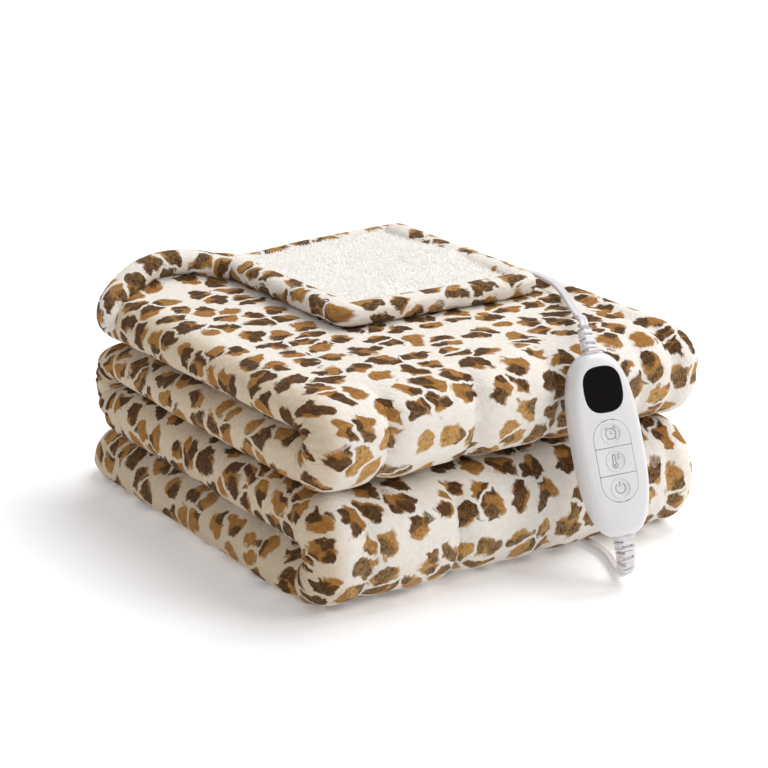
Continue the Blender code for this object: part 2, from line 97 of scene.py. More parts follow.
def addStudio():
    world = bpy.data.worlds.new("studio")
    world.use_nodes = True
    world.node_tree.nodes["Background"].inputs["Color"].default_value = (0.97, 0.98, 1.0, 1)
    world.node_tree.nodes["Background"].inputs["Strength"].default_value = studio["world"]
    bpy.context.scene.world = world
    bpy.context.scene.view_settings.view_transform = "Standard"
    sunData = bpy.data.lights.new("sun", "SUN")
    sunData.energy = studio["sun"]
    sunData.angle = math.radians(studio["sunSpread"])
    sunLamp = bpy.data.objects.new("sun", sunData)
    ray = -Vector(studio["sunFrom"])
    sunLamp.rotation_euler = ray.to_track_quat("-Z", "Y").to_euler()
    bpy.context.scene.collection.objects.link(sunLamp)
    addLamp("key")
    addLamp("fill")

    shape = bmesh.new()
    bmesh.ops.create_grid(shape, x_segments=8, y_segments=8, size=studio["reach"])
    mesh = bpy.data.meshes.new("floor")
    shape.to_mesh(mesh)
    shape.free()
    floor = bpy.data.objects.new("floor", mesh)
    floor.location.z = -studio["drop"]
    bpy.context.scene.collection.objects.link(floor)
    return floor


# node trees: one method makes any node, and Value does its sums
class Value:
    def __init__(self, owner, socket):
        self.owner, self.socket = owner, socket

    def maths(self, operation, *others):
        return self.owner.node("ShaderNodeMath", dict(operation=operation), [self, *others])

    def __add__(self, other):
        return self.maths("ADD", other)

    __radd__ = __add__

    def __sub__(self, other):
        return self.maths("SUBTRACT", other)

    def __rsub__(self, other):
        return self.owner.node("ShaderNodeMath", dict(operation="SUBTRACT"), [other, self])

    def __mul__(self, other):
        return self.maths("MULTIPLY", other)

    def __neg__(self):
        return self.maths("MULTIPLY", -1.0)

    def larger(self, other):
        return self.maths("MAXIMUM", other)

    def step(self, low, high):
        # 0 below low, 1 above high, smooth between
        return self.owner.node(
            "ShaderNodeMapRange", dict(interpolation_type="SMOOTHSTEP"),
            {"Value": self, "From Min": low, "From Max": high},
        )


class Tree:
    def __init__(self, tree):
        self.tree = tree

    def node(self, kind, settings=None, inputs=(), output=0):
        made = self.tree.nodes.new(kind)
        for name, value in (settings or {}).items():
            setattr(made, name, value)
        pairs = inputs.items() if isinstance(inputs, dict) else enumerate(inputs)
        for name, value in pairs:
            socket = self.pick(made.inputs, name)
            if isinstance(value, Value):
                self.tree.links.new(value.socket, socket)
            elif value is not None:
                socket.default_value = value
        self.last = made
        return Value(self, self.pick(made.outputs, output)) if len(made.outputs) else made

    def pick(self, sockets, name):
        # a socket by its place, or by its name among those in use
        if isinstance(name, int):
            return sockets[name]
        return next(socket for socket in sockets if socket.enabled and socket.name == name)


class Finish(Tree):
    # a material with one Principled shader, whose constant sockets are set on the shader itself
    def __init__(self, name, **sockets):
        self.material = bpy.data.materials.new(name)
        self.material.use_nodes = True
        super().__init__(self.material.node_tree)
        self.tree.nodes.clear()
        shader = self.node("ShaderNodeBsdfPrincipled")
        self.shader = self.last
        self.node("ShaderNodeOutputMaterial", inputs=[shader])
        for key, value in sockets.items():
            self.set(key.replace("_", " "), value)

    def set(self, name, value):
        socket = self.shader.inputs[name]
        if isinstance(value, Value):
            self.tree.links.new(value.socket, socket)
        else:
            socket.default_value = value

    def colour(self, red, green, blue):
        return (red, green, blue, 1.0)

    def mix(self, amount, first, second):
        return self.node(
            "ShaderNodeMix", dict(data_type="RGBA"), {0: amount, 6: first, 7: second}, output=2
        )

    def shift(self, place, by):
        return self.node("ShaderNodeVectorMath", dict(operation="ADD"), [place, by])

    def stretch(self, place, by):
        return self.node("ShaderNodeVectorMath", dict(operation="MULTIPLY"), [place, by])

    def noise(self, place, wavelength, detail, roughness=0.5, output=0):
        return self.node(
            "ShaderNodeTexNoise", inputs={
                "Vector": place, "Scale": 1.0 / wavelength,
                "Detail": detail, "Roughness": roughness,
            }, output=output,
        )

    def bump(self, height, distance, strength):
        self.set("Normal", self.node(
            "ShaderNodeBump", inputs={"Strength": strength, "Distance": distance, "Height": height}
        ))


class Growth(Tree):
    # a Geometry Nodes tree with named sizes as its inputs, which leaves one plain mesh
    def __init__(self, name, **sizes):
        super().__init__(bpy.data.node_groups.new(name, "GeometryNodeTree"))
        sockets = self.tree.interface
        sockets.new_socket("Base", in_out="INPUT", socket_type="NodeSocketGeometry")
        sockets.new_socket("Grown", in_out="OUTPUT", socket_type="NodeSocketGeometry")
        for size, value in sizes.items():
            kind = "NodeSocketInt" if isinstance(value, int) else "NodeSocketFloat"
            sockets.new_socket(size, in_out="INPUT", socket_type=kind).default_value = value
        inputs = self.tree.nodes.new("NodeGroupInput")
        self.inputs = {socket.name: Value(self, socket) for socket in inputs.outputs if socket.name}

    def finished(self, shape, finish, withBase=False):
        solid = self.node("GeometryNodeRealizeInstances", inputs=[shape])
        if withBase:
            whole = self.node("GeometryNodeJoinGeometry", inputs=[self.inputs["Base"]])
            self.tree.links.new(solid.socket, self.last.inputs[0])
            solid = whole
        covered = self.node(
            "GeometryNodeSetMaterial", inputs={"Geometry": solid, "Material": finish}
        )
        self.node("NodeGroupOutput", inputs=[covered])
        return self

    def growOn(self, base, name, **sizes):
        modifier = base.modifiers.new(name, "NODES")
        modifier.node_group = self.tree
        for item in self.tree.interface.items_tree:
            if item.in_out == "INPUT" and item.name in sizes:
                modifier[item.identifier] = sizes[item.name]
        graph = bpy.context.evaluated_depsgraph_get()
        mesh = bpy.data.meshes.new_from_object(
            base.evaluated_get(graph), preserve_all_data_layers=True, depsgraph=graph
        )
        base.modifiers.remove(modifier)
        mesh.name = name
        piece = bpy.data.objects.new(name, mesh)
        bpy.context.scene.collection.objects.link(piece)
        return piece


# finishes
def plushFinish():
    # short dense pile printed with leopard spots: an ochre core in each coarse cell, and round dark
    # or ochre lobes of the finer cells that fall on the core's edge
    spots = dict(
        coarse=0.0228, fine=0.0118,  # how far apart the spots and their lobes lie
        core=0.0086, coreVaries=0.0026, lobe=0.0065, lobeVaries=0.0016, inner=0.0030, outer=0.0103,
        channel=0.0021, lobeChannel=0.0014,  # half of the cream line between two spots
        wander=0.0066, curve=0.0042, ragged=0.0010, feather=0.0011, soft=0.0025,
    )
    f = Finish("leopard_plush", Roughness=0.93, **{"Sheen_Weight": 0.04, "Sheen_Roughness": 0.5})
    f.set("Specular IOR Level", 0.15)
    f.set("Sheen Tint", (1.0, 0.95, 0.88, 1.0))
    place = f.node("ShaderNodeAttribute", dict(attribute_name="cloth"), output="Vector")
    paintedSheen = f.node("ShaderNodeAttribute", dict(attribute_name="paintedSheen"), output="Fac")
    # painted shade: the left faces, turned from the light, are made darker and warmer
    deep = f.node("ShaderNodeAttribute", dict(attribute_name="deep"), output="Fac")
    middle = (-0.5, -0.5, -0.5)
    broad = f.shift(f.noise(place, 0.021, 1.0, output="Color"), middle)
    fine = f.shift(f.noise(place, 0.0034, 3.0, 0.7, output="Color"), middle)
    wander, ragged = spots["wander"] * 2, spots["ragged"] * 2
    bent = f.shift(place, f.stretch(broad, (wander, wander, 0)))
    curved = f.shift(f.noise(place, 0.0085, 1.0, output="Color"), middle)
    bent = f.shift(bent, f.stretch(curved, (spots["curve"] * 2, spots["curve"] * 2, 0)))
    ragged = f.shift(bent, f.stretch(fine, (ragged, ragged, 0)))
    hairs = f.stretch(place, (1.0, 0.32, 1.0))
    feathered = f.shift(f.noise(hairs, 0.0010, 1.0, output="Color"), middle)
    ragged = f.shift(ragged, f.stretch(feathered, (0.0006, spots["feather"] * 2, 0)))

    def cells(at, size, output, feature="F1"):
        return f.node(
            "ShaderNodeTexVoronoi", dict(voronoi_dimensions="2D", feature=feature),
            {"Vector": at, "Scale": 1 / size, "Randomness": 0.80}, output=output,
        )

    def within(distance, radius, soft=spots["soft"]):
        return 1 - distance.step(radius - soft, radius + soft)

    coreChance = f.node("ShaderNodeSeparateColor", inputs=[cells(ragged, spots["coarse"], "Color")])
    heart = cells(ragged, spots["coarse"], "Distance") * spots["coarse"]
    lobe = cells(ragged, spots["fine"], "Distance") * spots["fine"]
    lobeMiddle = cells(ragged, spots["fine"], "Position")
    lobeChance = f.node("ShaderNodeSeparateColor", inputs=[cells(ragged, spots["fine"], "Color")])
    reach = cells(lobeMiddle, spots["coarse"], "Distance") * spots["coarse"]
    core = within(heart, spots["core"] + (coreChance - 0.5) * spots["coreVaries"])
    lobes = within(lobe, spots["lobe"] + (lobeChance - 0.5) * spots["lobeVaries"])
    lobes = lobes * within(reach, spots["outer"], 0.0001)
    onEdge = 1 - within(reach, spots["inner"], 0.0001)
    dark = lobes * onEdge * within(lobeChance, 0.86, 0.001)
    grain = f.noise(hairs, 0.0009, 2.0, 0.7)
    patch = f.noise(place, 0.0046, 1.0, 0.6)
    fleck = (grain - 0.5) * 1.3
    border = cells(ragged, spots["coarse"], "Distance", "DISTANCE_TO_EDGE") * spots["coarse"]
    core = core * (1 - within(border, spots["channel"], 0.0015))
    lobes = lobes * (1 - within(border, spots["lobeChannel"], 0.0012))
    # painted sheen: the pile tips turn paler where the pile catches the light, and less so where
    # the left faces carry painted shade
    lit = paintedSheen * (1 - deep * 0.75)
    tips = (grain + lit * 0.18 + (patch - 0.5) * 0.35).step(0.44, 0.70)
    tips = tips * (0.26 + lit * 0.60 - deep * 0.12)
    ochre = f.mix(patch, f.colour(0.225, 0.090, 0.016), f.colour(0.40, 0.185, 0.042))
    ochre = f.mix(tips, ochre, f.colour(0.68, 0.44, 0.18))
    brown = f.mix(patch, f.colour(0.042, 0.016, 0.004), f.colour(0.098, 0.042, 0.012))
    brown = f.mix(tips, brown, f.colour(0.41, 0.26, 0.125))
    cream = f.mix(patch, f.colour(0.74, 0.675, 0.595), f.colour(0.86, 0.815, 0.750))
    # painted shade: on the left faces the cream turns a warm brown
    shade = f.mix(patch, f.colour(0.56, 0.445, 0.31), f.colour(0.68, 0.565, 0.42))
    cream = f.mix(deep, cream, shade)
    inside = f.mix((dark + fleck).step(0.12, 0.86), ochre, brown)
    spot = (core.larger(lobes) + fleck).step(0.14, 0.86)
    f.set("Base Color", f.mix(spot, cream, inside))
    f.bump(grain * 0.6 + patch, 0.0012, 0.8)
    return f.material


def sherpaFinish():
    f = Finish("sherpa", Roughness=0.95, **{"Subsurface_Weight": 0.55, "Subsurface_Scale": 0.004})
    f.set("Subsurface Radius", (1.0, 0.92, 0.85))
    place = f.node("ShaderNodeTexCoord", output="Object")
    curl = f.noise(place, 0.0016, 3.0, 0.65)
    clump = f.noise(place, 0.010, 2.0, 0.6)
    warm = f.mix(clump, f.colour(0.91, 0.87, 0.81), f.colour(0.96, 0.93, 0.88))
    f.set("Base Color", f.mix(curl, warm, f.colour(0.985, 0.965, 0.93)))
    f.bump(curl + clump * 0.6, 0.0006, 0.5)
    return f.material


def plasticFinish():
    f = Finish("white_plastic", IOR=1.5, **{"Coat_Weight": 0.25, "Coat_Roughness": 0.12})
    place = f.node("ShaderNodeTexCoord", output="Object")
    wear = f.noise(place, 0.018, 3.0, 0.6)
    grain = f.noise(place, 0.0004, 1.0)
    f.set("Base Color", f.mix(wear, f.colour(0.690, 0.675, 0.675), f.colour(0.735, 0.720, 0.720)))
    f.set("Roughness", 0.24 + wear * 0.12)
    f.bump(grain, 0.00003, 0.25)
    return f.material


def displayFinish():
    f = Finish("display_window", IOR=1.45, **{"Specular_IOR_Level": 0.12})
    place = f.node("ShaderNodeTexCoord", output="Object")
    smear = f.noise(place, 0.009, 2.0, 0.6)
    near, far = f.colour(0.0030, 0.0022, 0.0026), f.colour(0.0058, 0.0044, 0.0050)
    f.set("Base Color", f.mix(smear, near, far))
    f.set("Roughness", 0.10 + smear * 0.10)
    return f.material


def printFinish():
    f = Finish("grey_print", Roughness=0.5)
    place = f.node("ShaderNodeTexCoord", output="Object")
    worn = f.noise(place, 0.0012, 2.0)
    f.set("Base Color", f.mix(worn, f.colour(0.20, 0.20, 0.205), f.colour(0.33, 0.33, 0.335)))
    return f.material


def vinylFinish():
    f = Finish("milky_vinyl", IOR=1.5, **{"Coat_Weight": 0.15, "Coat_Roughness": 0.25})
    place = f.node("ShaderNodeTexCoord", output="Object")
    cloud = f.noise(place, 0.007, 2.0, 0.6)
    grain = f.noise(place, 0.0005, 2.0)
    f.set("Base Color", f.mix(cloud, f.colour(0.66, 0.63, 0.635), f.colour(0.745, 0.72, 0.725)))
    f.set("Roughness", 0.34 + cloud * 0.16)
    f.bump(grain + cloud, 0.00005, 0.4)
    return f.material


def nickelFinish():
    f = Finish("nickel", Metallic=1.0)
    place = f.node("ShaderNodeTexCoord", output="Object")
    drawn = f.noise(f.stretch(place, (0.15, 1, 1)), 0.0006, 2.0, 0.6)
    f.set("Base Color", f.mix(drawn, f.colour(0.50, 0.49, 0.46), f.colour(0.66, 0.645, 0.61)))
    f.set("Roughness", 0.22 + drawn * 0.16)
    f.bump(drawn, 0.00002, 0.3)
    return f.material


def floorFinish():
    f = Finish("floor", Roughness=0.7)
    f.set("Base Color", f.colour(studio["floor"], studio["floor"], studio["floor"] * 1.005))
    f.set("Emission Color", f.colour(1, 1, 1))
    f.set("Emission Strength", studio["glow"])
    return f.material


# making meshes, all in metres
def addPiece(name, points, faces, finish):
    mesh = bpy.data.meshes.new(name)
    mesh.from_pydata([tuple(p) for p in points], [], faces)
    mesh.validate()
    shape = bmesh.new()
    shape.from_mesh(mesh)
    bmesh.ops.recalc_face_normals(shape, faces=shape.faces)
    shape.to_mesh(mesh)
    shape.free()
    mesh.shade_smooth()
    mesh.materials.append(finish)
    piece = bpy.data.objects.new(name, mesh)
    bpy.context.scene.collection.objects.link(piece)
    return piece


def smoothRoute(points, step):
    # points about a step apart on one smooth curve through the given ones
    knots = [Vector(p) for p in points]
    knots = [knots[0] * 2 - knots[1], *knots, knots[-1] * 2 - knots[-2]]
    made = []
    for a, b, c, d in zip(knots, knots[1:], knots[2:], knots[3:]):
        count = max(1, round((c - b).length / step))
        for i in range(count):
            t = i / count
            made.append(
                0.5 * (2 * b + (c - a) * t + (2 * a - 5 * b + 4 * c - d) * t**2
                       + (3 * b - a - 3 * c + d) * t**3)
            )
    made.append(knots[-2])
    return made


def framesAlong(route, turn=None):
    # at each point of a route: the directions sideways, upwards and ahead
    frames = []
    side = None
    for i in range(len(route)):
        ahead = (route[min(i + 1, len(route) - 1)] - route[max(i - 1, 0)]).normalized()
        if side is None:
            level = ahead.cross(Vector((0, 0, 1)))
            side = level if level.length > 0.2 else Vector((1, 0, 0))
        side = (side - ahead * side.dot(ahead)).normalized()
        above = side.cross(ahead).normalized()
        angle = turn(i) if turn else 0.0
        frames.append((
            side * math.cos(angle) + above * math.sin(angle),
            above * math.cos(angle) - side * math.sin(angle), ahead,
        ))
    return frames


def sweep(route, section, turn=None, scale=None):
    # rings of a section along a route: section x lies sideways, section y upwards
    rings = []
    for i, (point, (across, up, _)) in enumerate(zip(route, framesAlong(route, turn))):
        grow = scale(i) if scale else 1.0
        rings.append([point + (across * x + up * y) * grow for x, y in section])
    return rings


def ringFaces(rings, count, closedEnds=True):
    faces = []
    for i in range(rings - 1):
        for k in range(count):
            m = (k + 1) % count
            a, b = i * count, (i + 1) * count
            faces.append((a + k, a + m, b + m, b + k))
    if closedEnds:
        faces.append(tuple(reversed(range(count))))
        faces.append(tuple((rings - 1) * count + k for k in range(count)))
    return faces


def bandFaces(rings, count):
    # faces from the last ring back to the first, for a loop that has no ends
    last = (rings - 1) * count
    return [(last + k, last + (k + 1) % count, (k + 1) % count, k) for k in range(count)]


def flatten(rings):
    return [point for ring in rings for point in ring]


# the two cords, from the same routes as the solids
lead = dict(
    wide=0.0060, thick=0.0036, waist=0.62, step=0.0025,
    route=(
        (0.0532, 0.0061, 0.1650), (0.0556, 0.0098, 0.1678), (0.0648, 0.0240, 0.1664),
        (0.0780, 0.0440, 0.1603), (0.0970, 0.0760, 0.1562), (0.1165, 0.1095, 0.1533),
        (0.1280, 0.1350, 0.1526), (0.1318, 0.1530, 0.1526), (0.1320, 0.1660, 0.1530),
        (0.1270, 0.1740, 0.1538), (0.1195, 0.1765, 0.1545),
    ),
)
mains = dict(
    length=1.80, wide=0.0060, thick=0.0040, waist=0.66, step=0.0035, lift=0.0032,
    route=(
        (0.0510, -0.0448, 0.0075), (0.0532, -0.0398, 0.0046), (0.0602, -0.0245, 0.0032),
        (0.0670, -0.0085, 0.0032), (0.0703, 0.0120, 0.0032), (0.0708, 0.0500, 0.0032),
        (0.0690, 0.1500, 0.0032), (0.0668, 0.2500, 0.0032), (0.0660, 0.3400, 0.0032),
    ),
    coil=(0.025, 0.404), turnRadii=(0.0410, 0.0348, 0.0288), storey=0.0062,
    twist=10,  # points over which the flat cord turns on edge
)


def flatSection(wide, thick, waist):
    # two round cores side by side under one skin
    points = []
    count = 20
    for k in range(count):
        angle = 2 * math.pi * k / count
        c, s = math.cos(angle), math.sin(angle)
        pinch = waist + (1 - waist) * min(1.0, abs(c) / 0.45) ** 1.5
        high = thick / 2 * math.copysign(abs(s) ** 0.8, s) * pinch
        points.append((wide / 2 * math.copysign(abs(c) ** 0.8, c), high))
    return points


def coilRoute():
    # three turns on the floor from the outside in, then three on top of them from the inside out
    cx, cy = mains["coil"]
    radii = mains["turnRadii"]
    low, high = mains["lift"], mains["lift"] + mains["storey"]
    plan = [  # turns so far, radius and height
        (0.0, radii[0], low), (0.86, radii[0], low), (1.0, radii[1], low), (1.86, radii[1], low),
        (2.0, radii[2], low), (2.72, radii[2], low), (3.0, radii[2], high), (3.86, radii[2], high),
        (4.0, radii[1], high), (4.86, radii[1], high),
        (5.0, radii[0], high), (6.25, radii[0], high),
    ]
    points = []
    steps = 28  # points in a turn
    for i in range(int(plan[-1][0] * steps) + 1):
        turn = i / steps
        after = next((n for n in range(1, len(plan)) if plan[n][0] >= turn), len(plan) - 1)
        a, b = plan[after - 1], plan[after]
        t = min(1.0, max(0.0, (turn - a[0]) / (b[0] - a[0])))
        t = t * t * (3 - 2 * t)
        radius, z = a[1] + (b[1] - a[1]) * t, a[2] + (b[2] - a[2]) * t
        angle = 2 * math.pi * turn
        points.append((cx + radius * math.cos(angle), cy + radius * math.sin(angle), z))
    return points


def pathLength(path):
    return sum((b - a).length for a, b in zip(path, path[1:]))


def addLead(finish):
    path = smoothRoute(inRow(lead["route"]), lead["step"])
    section = flatSection(lead["wide"], lead["thick"], lead["waist"])
    rings = sweep(path, section)
    faces = ringFaces(len(rings), len(section))
    cord = addPiece("cord_to_controller", flatten(rings), faces, finish)
    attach(cord, "throw")
    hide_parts("lead_cord")
    pathLength(path)


def addMains(finish):
    low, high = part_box("plug_body")
    middle, plugEnd = (low + high) / 2, high.x
    cx, cy = mains["coil"]
    top = cy + mains["turnRadii"][0]
    tail = [
        (cx - 0.010, top, mains["lift"] + mains["storey"] - 0.0003),
        (plugEnd + 0.012, top, middle.z + 0.0002), (plugEnd + 0.0006, top, middle.z),
    ]
    path = smoothRoute(inRow([*mains["route"], *coilRoute()[2:], *tail]), mains["step"])
    section = flatSection(mains["wide"], mains["thick"], mains["waist"])
    startCoil = next(i for i, p in enumerate(path) if p.y - stackFront > cy - 0.03)
    lastCoil = max(i for i, p in enumerate(path) if p.x > cx - 0.004)
    twist = mains["twist"]

    def edgewise(i):
        # the cord lies flat on the floor and stands on edge in the coil, core above core
        rise = min(1.0, max(0.0, (i - startCoil + twist) / twist))
        fall = min(1.0, max(0.0, (lastCoil + twist - i) / twist))
        return math.pi / 2 * min(rise, fall)

    rings = sweep(path, section, turn=edgewise)
    cord = addPiece("mains_lead", flatten(rings), ringFaces(len(rings), len(section)), finish)
    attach(cord, "throw")
    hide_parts("mains_cord", "mains_coil")
    print("mains lead:", round(pathLength(path), 3), "m in", len(path), "points")


# the folded throw
throw = dict(
    width=0.3175, depth=0.330, gap=0.0016, frontRoll=0.038, backRoll=0.030, tail=0.019,
    leftRound=0.025, rightRound=0.019, cornerRound=0.030,
    heights=((0.0, 0.0), (0.037, 0.037), (0.080, 0.080), (0.121, 0.109), (0.149, 0.147)),
    upperChannels=((-0.102, 1.0), (-0.033, 1.0), (0.033, 0.7), (0.104, 0.5)),
    lowerChannels=((-0.119, 0.7), (-0.045, 1.0), (0.028, 0.7)),
    channelDepth=0.0062, channelHalf=0.0080, seamDepth=0.0034, seamHalf=0.0020,
    hemEdge=0.132, hemHalf=0.0050, hemDeep=0.0046, lipRise=0.0058, lipX=-0.100, lipHalf=0.040,
    endRound=0.018, stuffed=0.94,  # 1 makes a fold an ellipse, and less makes it squarer
    across=78, roundSteps=9, layerSteps=54, foldSteps=26, endSteps=7,
    pucker=0.0011, puckerReach=0.020, billow=0.0013, leftBillow=0.0030, waver=0.0012,
    tuckY=0.044, tuckHalf=0.0085, tuckDeep=0.0055, sagAtLeft=0.22,
)


def bumpAt(value, middle, half):
    return np.exp(-(((value - middle) / half) ** 2))


def stepAt(low, high, value):
    t = np.clip((value - low) / (high - low), 0.0, 1.0)
    return t * t * (3 - 2 * t)


def levelAt(index, x, y):
    # height where layer index - 1 ends and the next begins
    front, back = throw["heights"][index]
    height = front + (back - front) * np.clip(y / throw["depth"], 0.0, 1.0)
    if 0 < index < 4:
        height = height + throw["waver"] * np.sin(21 * x + 1.7 * index) * np.cos(13 * y + index)
    if index == 4:
        height = height - throw["waver"] * (1 - np.cos(26 * x + 9 * y)) / 2
        height = height - 0.7 * throw["hemDeep"] * bumpAt(x, throw["hemEdge"], throw["hemHalf"])
        rise = throw["lipRise"] * bumpAt(x, throw["lipX"], throw["lipHalf"])
        height = height + rise * stepAt(0.285, 0.320, y)
    return height


def layerFaces(layer, x, y):
    low = levelAt(layer, x, y) + (throw["gap"] / 2 if layer > 0 else 0)
    high = levelAt(layer + 1, x, y) - (throw["gap"] / 2 if layer < 3 else 0)
    return low, high


def channelAt(x, layer, seam):
    channels = throw["lowerChannels"] if layer == 0 else throw["upperChannels"]
    depth = 0.0
    for middle, share in channels:
        depth = depth + share * throw["channelDepth"] * bumpAt(x, middle, throw["channelHalf"])
        depth = depth + share * throw["seamDepth"] * seam * bumpAt(x, middle, throw["seamHalf"])
    return depth + throw["hemDeep"] * bumpAt(x, throw["hemEdge"], throw["hemHalf"])


def stations():
    # places along the strip: layer, y on a flat run, angle in a fold, share of the thickness
    made = []
    end = throw["endRound"]
    tail = throw["depth"] + throw["tail"]
    ends = [math.radians(a) for a in np.linspace(89, 0, throw["endSteps"], endpoint=False)]
    for angle in ends:
        made.append((0, tail - end * (1 - math.sin(angle)), None, math.cos(angle)))
    for layer in range(4):
        front, back = throw["frontRoll"], throw["depth"] - throw["backRoll"]
        first, last = (back, front) if layer % 2 == 0 else (front, back)
        first = tail - end if layer == 0 else first
        last = throw["depth"] - end if layer == 3 else last
        for i in range(throw["layerSteps"] + 1):
            made.append((layer, first + (last - first) * i / throw["layerSteps"], None, 1.0))
        if layer < 3:
            for i in range(1, throw["foldSteps"]):
                made.append((layer, None, math.pi * (i / throw["foldSteps"] - 0.5), 1.0))
    for angle in reversed(ends):
        made.append((3, throw["depth"] - end * (1 - math.sin(angle)), None, math.cos(angle)))
    return made


def pairAt(station, x):
    # both faces of the strip at a station, as (y, z) arrays, the one outside in front folds first
    layer, y, angle, _ = station
    if angle is None:
        low, high = layerFaces(layer, x, y)
        ys = np.full_like(x, y)
        return ((ys, low), (ys, high)) if layer % 2 == 0 else ((ys, high), (ys, low))
    atFront = layer % 2 == 0
    reach, way = (throw["frontRoll"], -1) if atFront else (throw["backRoll"], 1)
    axis = reach if atFront else throw["depth"] - reach
    low, _ = layerFaces(layer, x, axis)
    _, high = layerFaces(layer + 1, x, axis)
    middle = levelAt(layer + 1, x, axis)
    tall = np.where(angle > 0, high - middle, middle - low)
    full = throw["stuffed"]
    c, s = math.cos(angle) ** full, math.copysign(abs(math.sin(angle)) ** full, angle)
    outer = [axis + way * reach * c + 0 * x, middle + tall * s]
    inner = [axis + way * throw["gap"] / 2 * c + 0 * x, middle + throw["gap"] / 2 * s + 0 * x]
    if not atFront:
        return inner, outer
    seam = channelAt(x, layer, math.cos(angle) ** 0.5)
    fold = seam * math.cos(angle) ** 0.8
    outer = [outer[0] + fold, outer[1] - seam * 0.35 * s]
    return outer, inner


def cornerInset(x, y):
    radius = throw["cornerRound"]
    over = np.clip(radius - (throw["width"] / 2 - np.abs(x)), 0, radius * 0.97)
    atBack = stepAt(throw["depth"] - 0.065, throw["depth"], y)
    return (radius - np.sqrt(radius**2 - over**2)) * atBack


def ringPlaces():
    # x and side share round one ring: over face a to the left, round, and back over face b
    half = throw["width"] / 2
    left, right = -half + throw["leftRound"], half - throw["rightRound"]
    straight = list(np.linspace(right, left, throw["across"]))
    n = throw["roundSteps"]
    xs, shares = [], []
    for i in range(1, n + 1):  # from the middle of the right edge up onto face a
        turn = math.pi / 2 * i / (n + 1)
        xs.append(right + throw["rightRound"] * math.cos(turn) ** 0.9)
        shares.append(math.sin(turn) ** 0.9)
    xs += straight
    shares += [1.0] * len(straight)
    for i in range(1, 2 * n + 2):
        turn = math.pi * i / (2 * n + 2)
        xs.append(left - throw["leftRound"] * math.sin(turn) ** 0.9)
        shares.append(math.copysign(abs(math.cos(turn)) ** 0.9, math.cos(turn)))
    xs += straight[::-1]
    shares += [-1.0] * len(straight)
    for i in reversed(range(0, n + 1)):
        turn = math.pi / 2 * i / (n + 1)
        xs.append(right + throw["rightRound"] * math.cos(turn) ** 0.9)
        shares.append(-math.sin(turn) ** 0.9)
    return np.array(xs), np.array(shares)


def wave(x, y, z, size):
    return noise.noise(Vector((x, y, z)) / size)


def throwGrid():
    # points[station, place], with the painted sheen of the pile tips and the painted shade of the
    # left faces
    x, share = ringPlaces()
    places = stations()
    points = np.zeros((len(places), len(x), 3))
    paintedSheen = np.zeros((len(places), len(x)))
    deep = np.zeros((len(places), len(x)))
    half = throw["width"] / 2
    leftWeight = np.clip((-half + throw["leftRound"] - x) / throw["leftRound"], 0, 1)
    rightWeight = np.clip((x - half + throw["rightRound"]) / throw["rightRound"], 0, 1)
    for j, station in enumerate(places):
        layer, y, angle, thick = station
        a, b = pairAt(station, x)
        midY, midZ = (a[0] + b[0]) / 2, (a[1] + b[1]) / 2
        halfY, halfZ = (a[0] - b[0]) / 2 * share * thick, (a[1] - b[1]) / 2 * share * thick
        flat = angle is None
        if flat and layer in (0, 3):
            midY = midY - cornerInset(x, midY)
        if flat and layer == 0:
            # the bottom layer's edges sag until they rest on the floor
            reach = np.abs(halfZ)
            sagged = midZ * (1 - throw["sagAtLeft"] * leftWeight)
            midZ = np.minimum(midZ, np.maximum(reach, sagged))
        points[j] = np.stack([x + 0 * midY, midY + halfY, midZ + halfZ], axis=1)
        # lobes swell and dip along the left side, and a tuck crosses them behind the front roll
        run = layer + (0.5 + angle / math.pi if not flat else 0)
        depth = y if flat else 0.5 * throw["frontRoll"]
        swell = throw["leftBillow"] * wave(3.1 * run, depth, 0.5, 0.055)
        tuck = 0.0
        if flat and layer in (0, 2):
            tuck = throw["tuckDeep"] * float(bumpAt(depth, throw["tuckY"], throw["tuckHalf"]))
        points[j, :, 0] -= leftWeight * (swell - tuck)
        points[j, :, 0] += rightWeight * throw["leftBillow"] * 0.6 * wave(5 - run, depth, 1.5, 0.06)
        # painted sheen: pale pile tips on alternate lobes of the left side and on the lower half of
        # the front rolls, where the pile catches the light
        paintedSheenShare = 1.0 if layer in (0, 2) else 0.0
        if not flat:
            paintedSheenShare = 1.0 - stepAt(-1.2, 0.2, angle) if layer % 2 == 0 else stepAt(-0.6, 0.6, angle)
        paintedSheen[j] = 0.8 * paintedSheenShare * stepAt(0.15, 0.7, leftWeight)
        if not flat and layer % 2 == 0:
            low = 0.6 * (1 - stepAt(-0.1, 0.7, angle)) * (share > 0)
            paintedSheen[j] = np.maximum(paintedSheen[j], low * (1 - stepAt(0.0, 0.3, leftWeight)))
        # painted shade on the left faces, which are turned from the light
        deep[j] = stepAt(0.0, 0.75, leftWeight)
    return places, x, share, points, paintedSheen, deep


def billow(points, places, share):
    # soft unevenness of the outer faces, out from the middle of the strip
    rows, count, _ = points.shape
    along = np.gradient(points, axis=0)
    around = np.roll(points, -1, axis=1) - np.roll(points, 1, axis=1)
    out = np.cross(along, around)
    out /= np.maximum(np.linalg.norm(out, axis=2, keepdims=True), 1e-9)
    for j in range(rows):
        layer, _, angle, _ = places[j]
        for k in range(count):
            p = points[j, k]
            if angle is None:
                seen = 1.0 if (layer == 3 and share[k] > 0) else 0.35
                if layer == 0 and share[k] > 0.4:
                    continue
            else:
                seen = 1.0 if (share[k] > 0) == (layer % 2 == 0) else 0.2
            seen = max(seen, 1 - abs(share[k])) if abs(share[k]) < 1 else seen
            push = throw["billow"] * (wave(*p, 0.055) + 0.5 * wave(*p, 0.024))
            points[j, k] = p + out[j, k] * push * seen
    return points


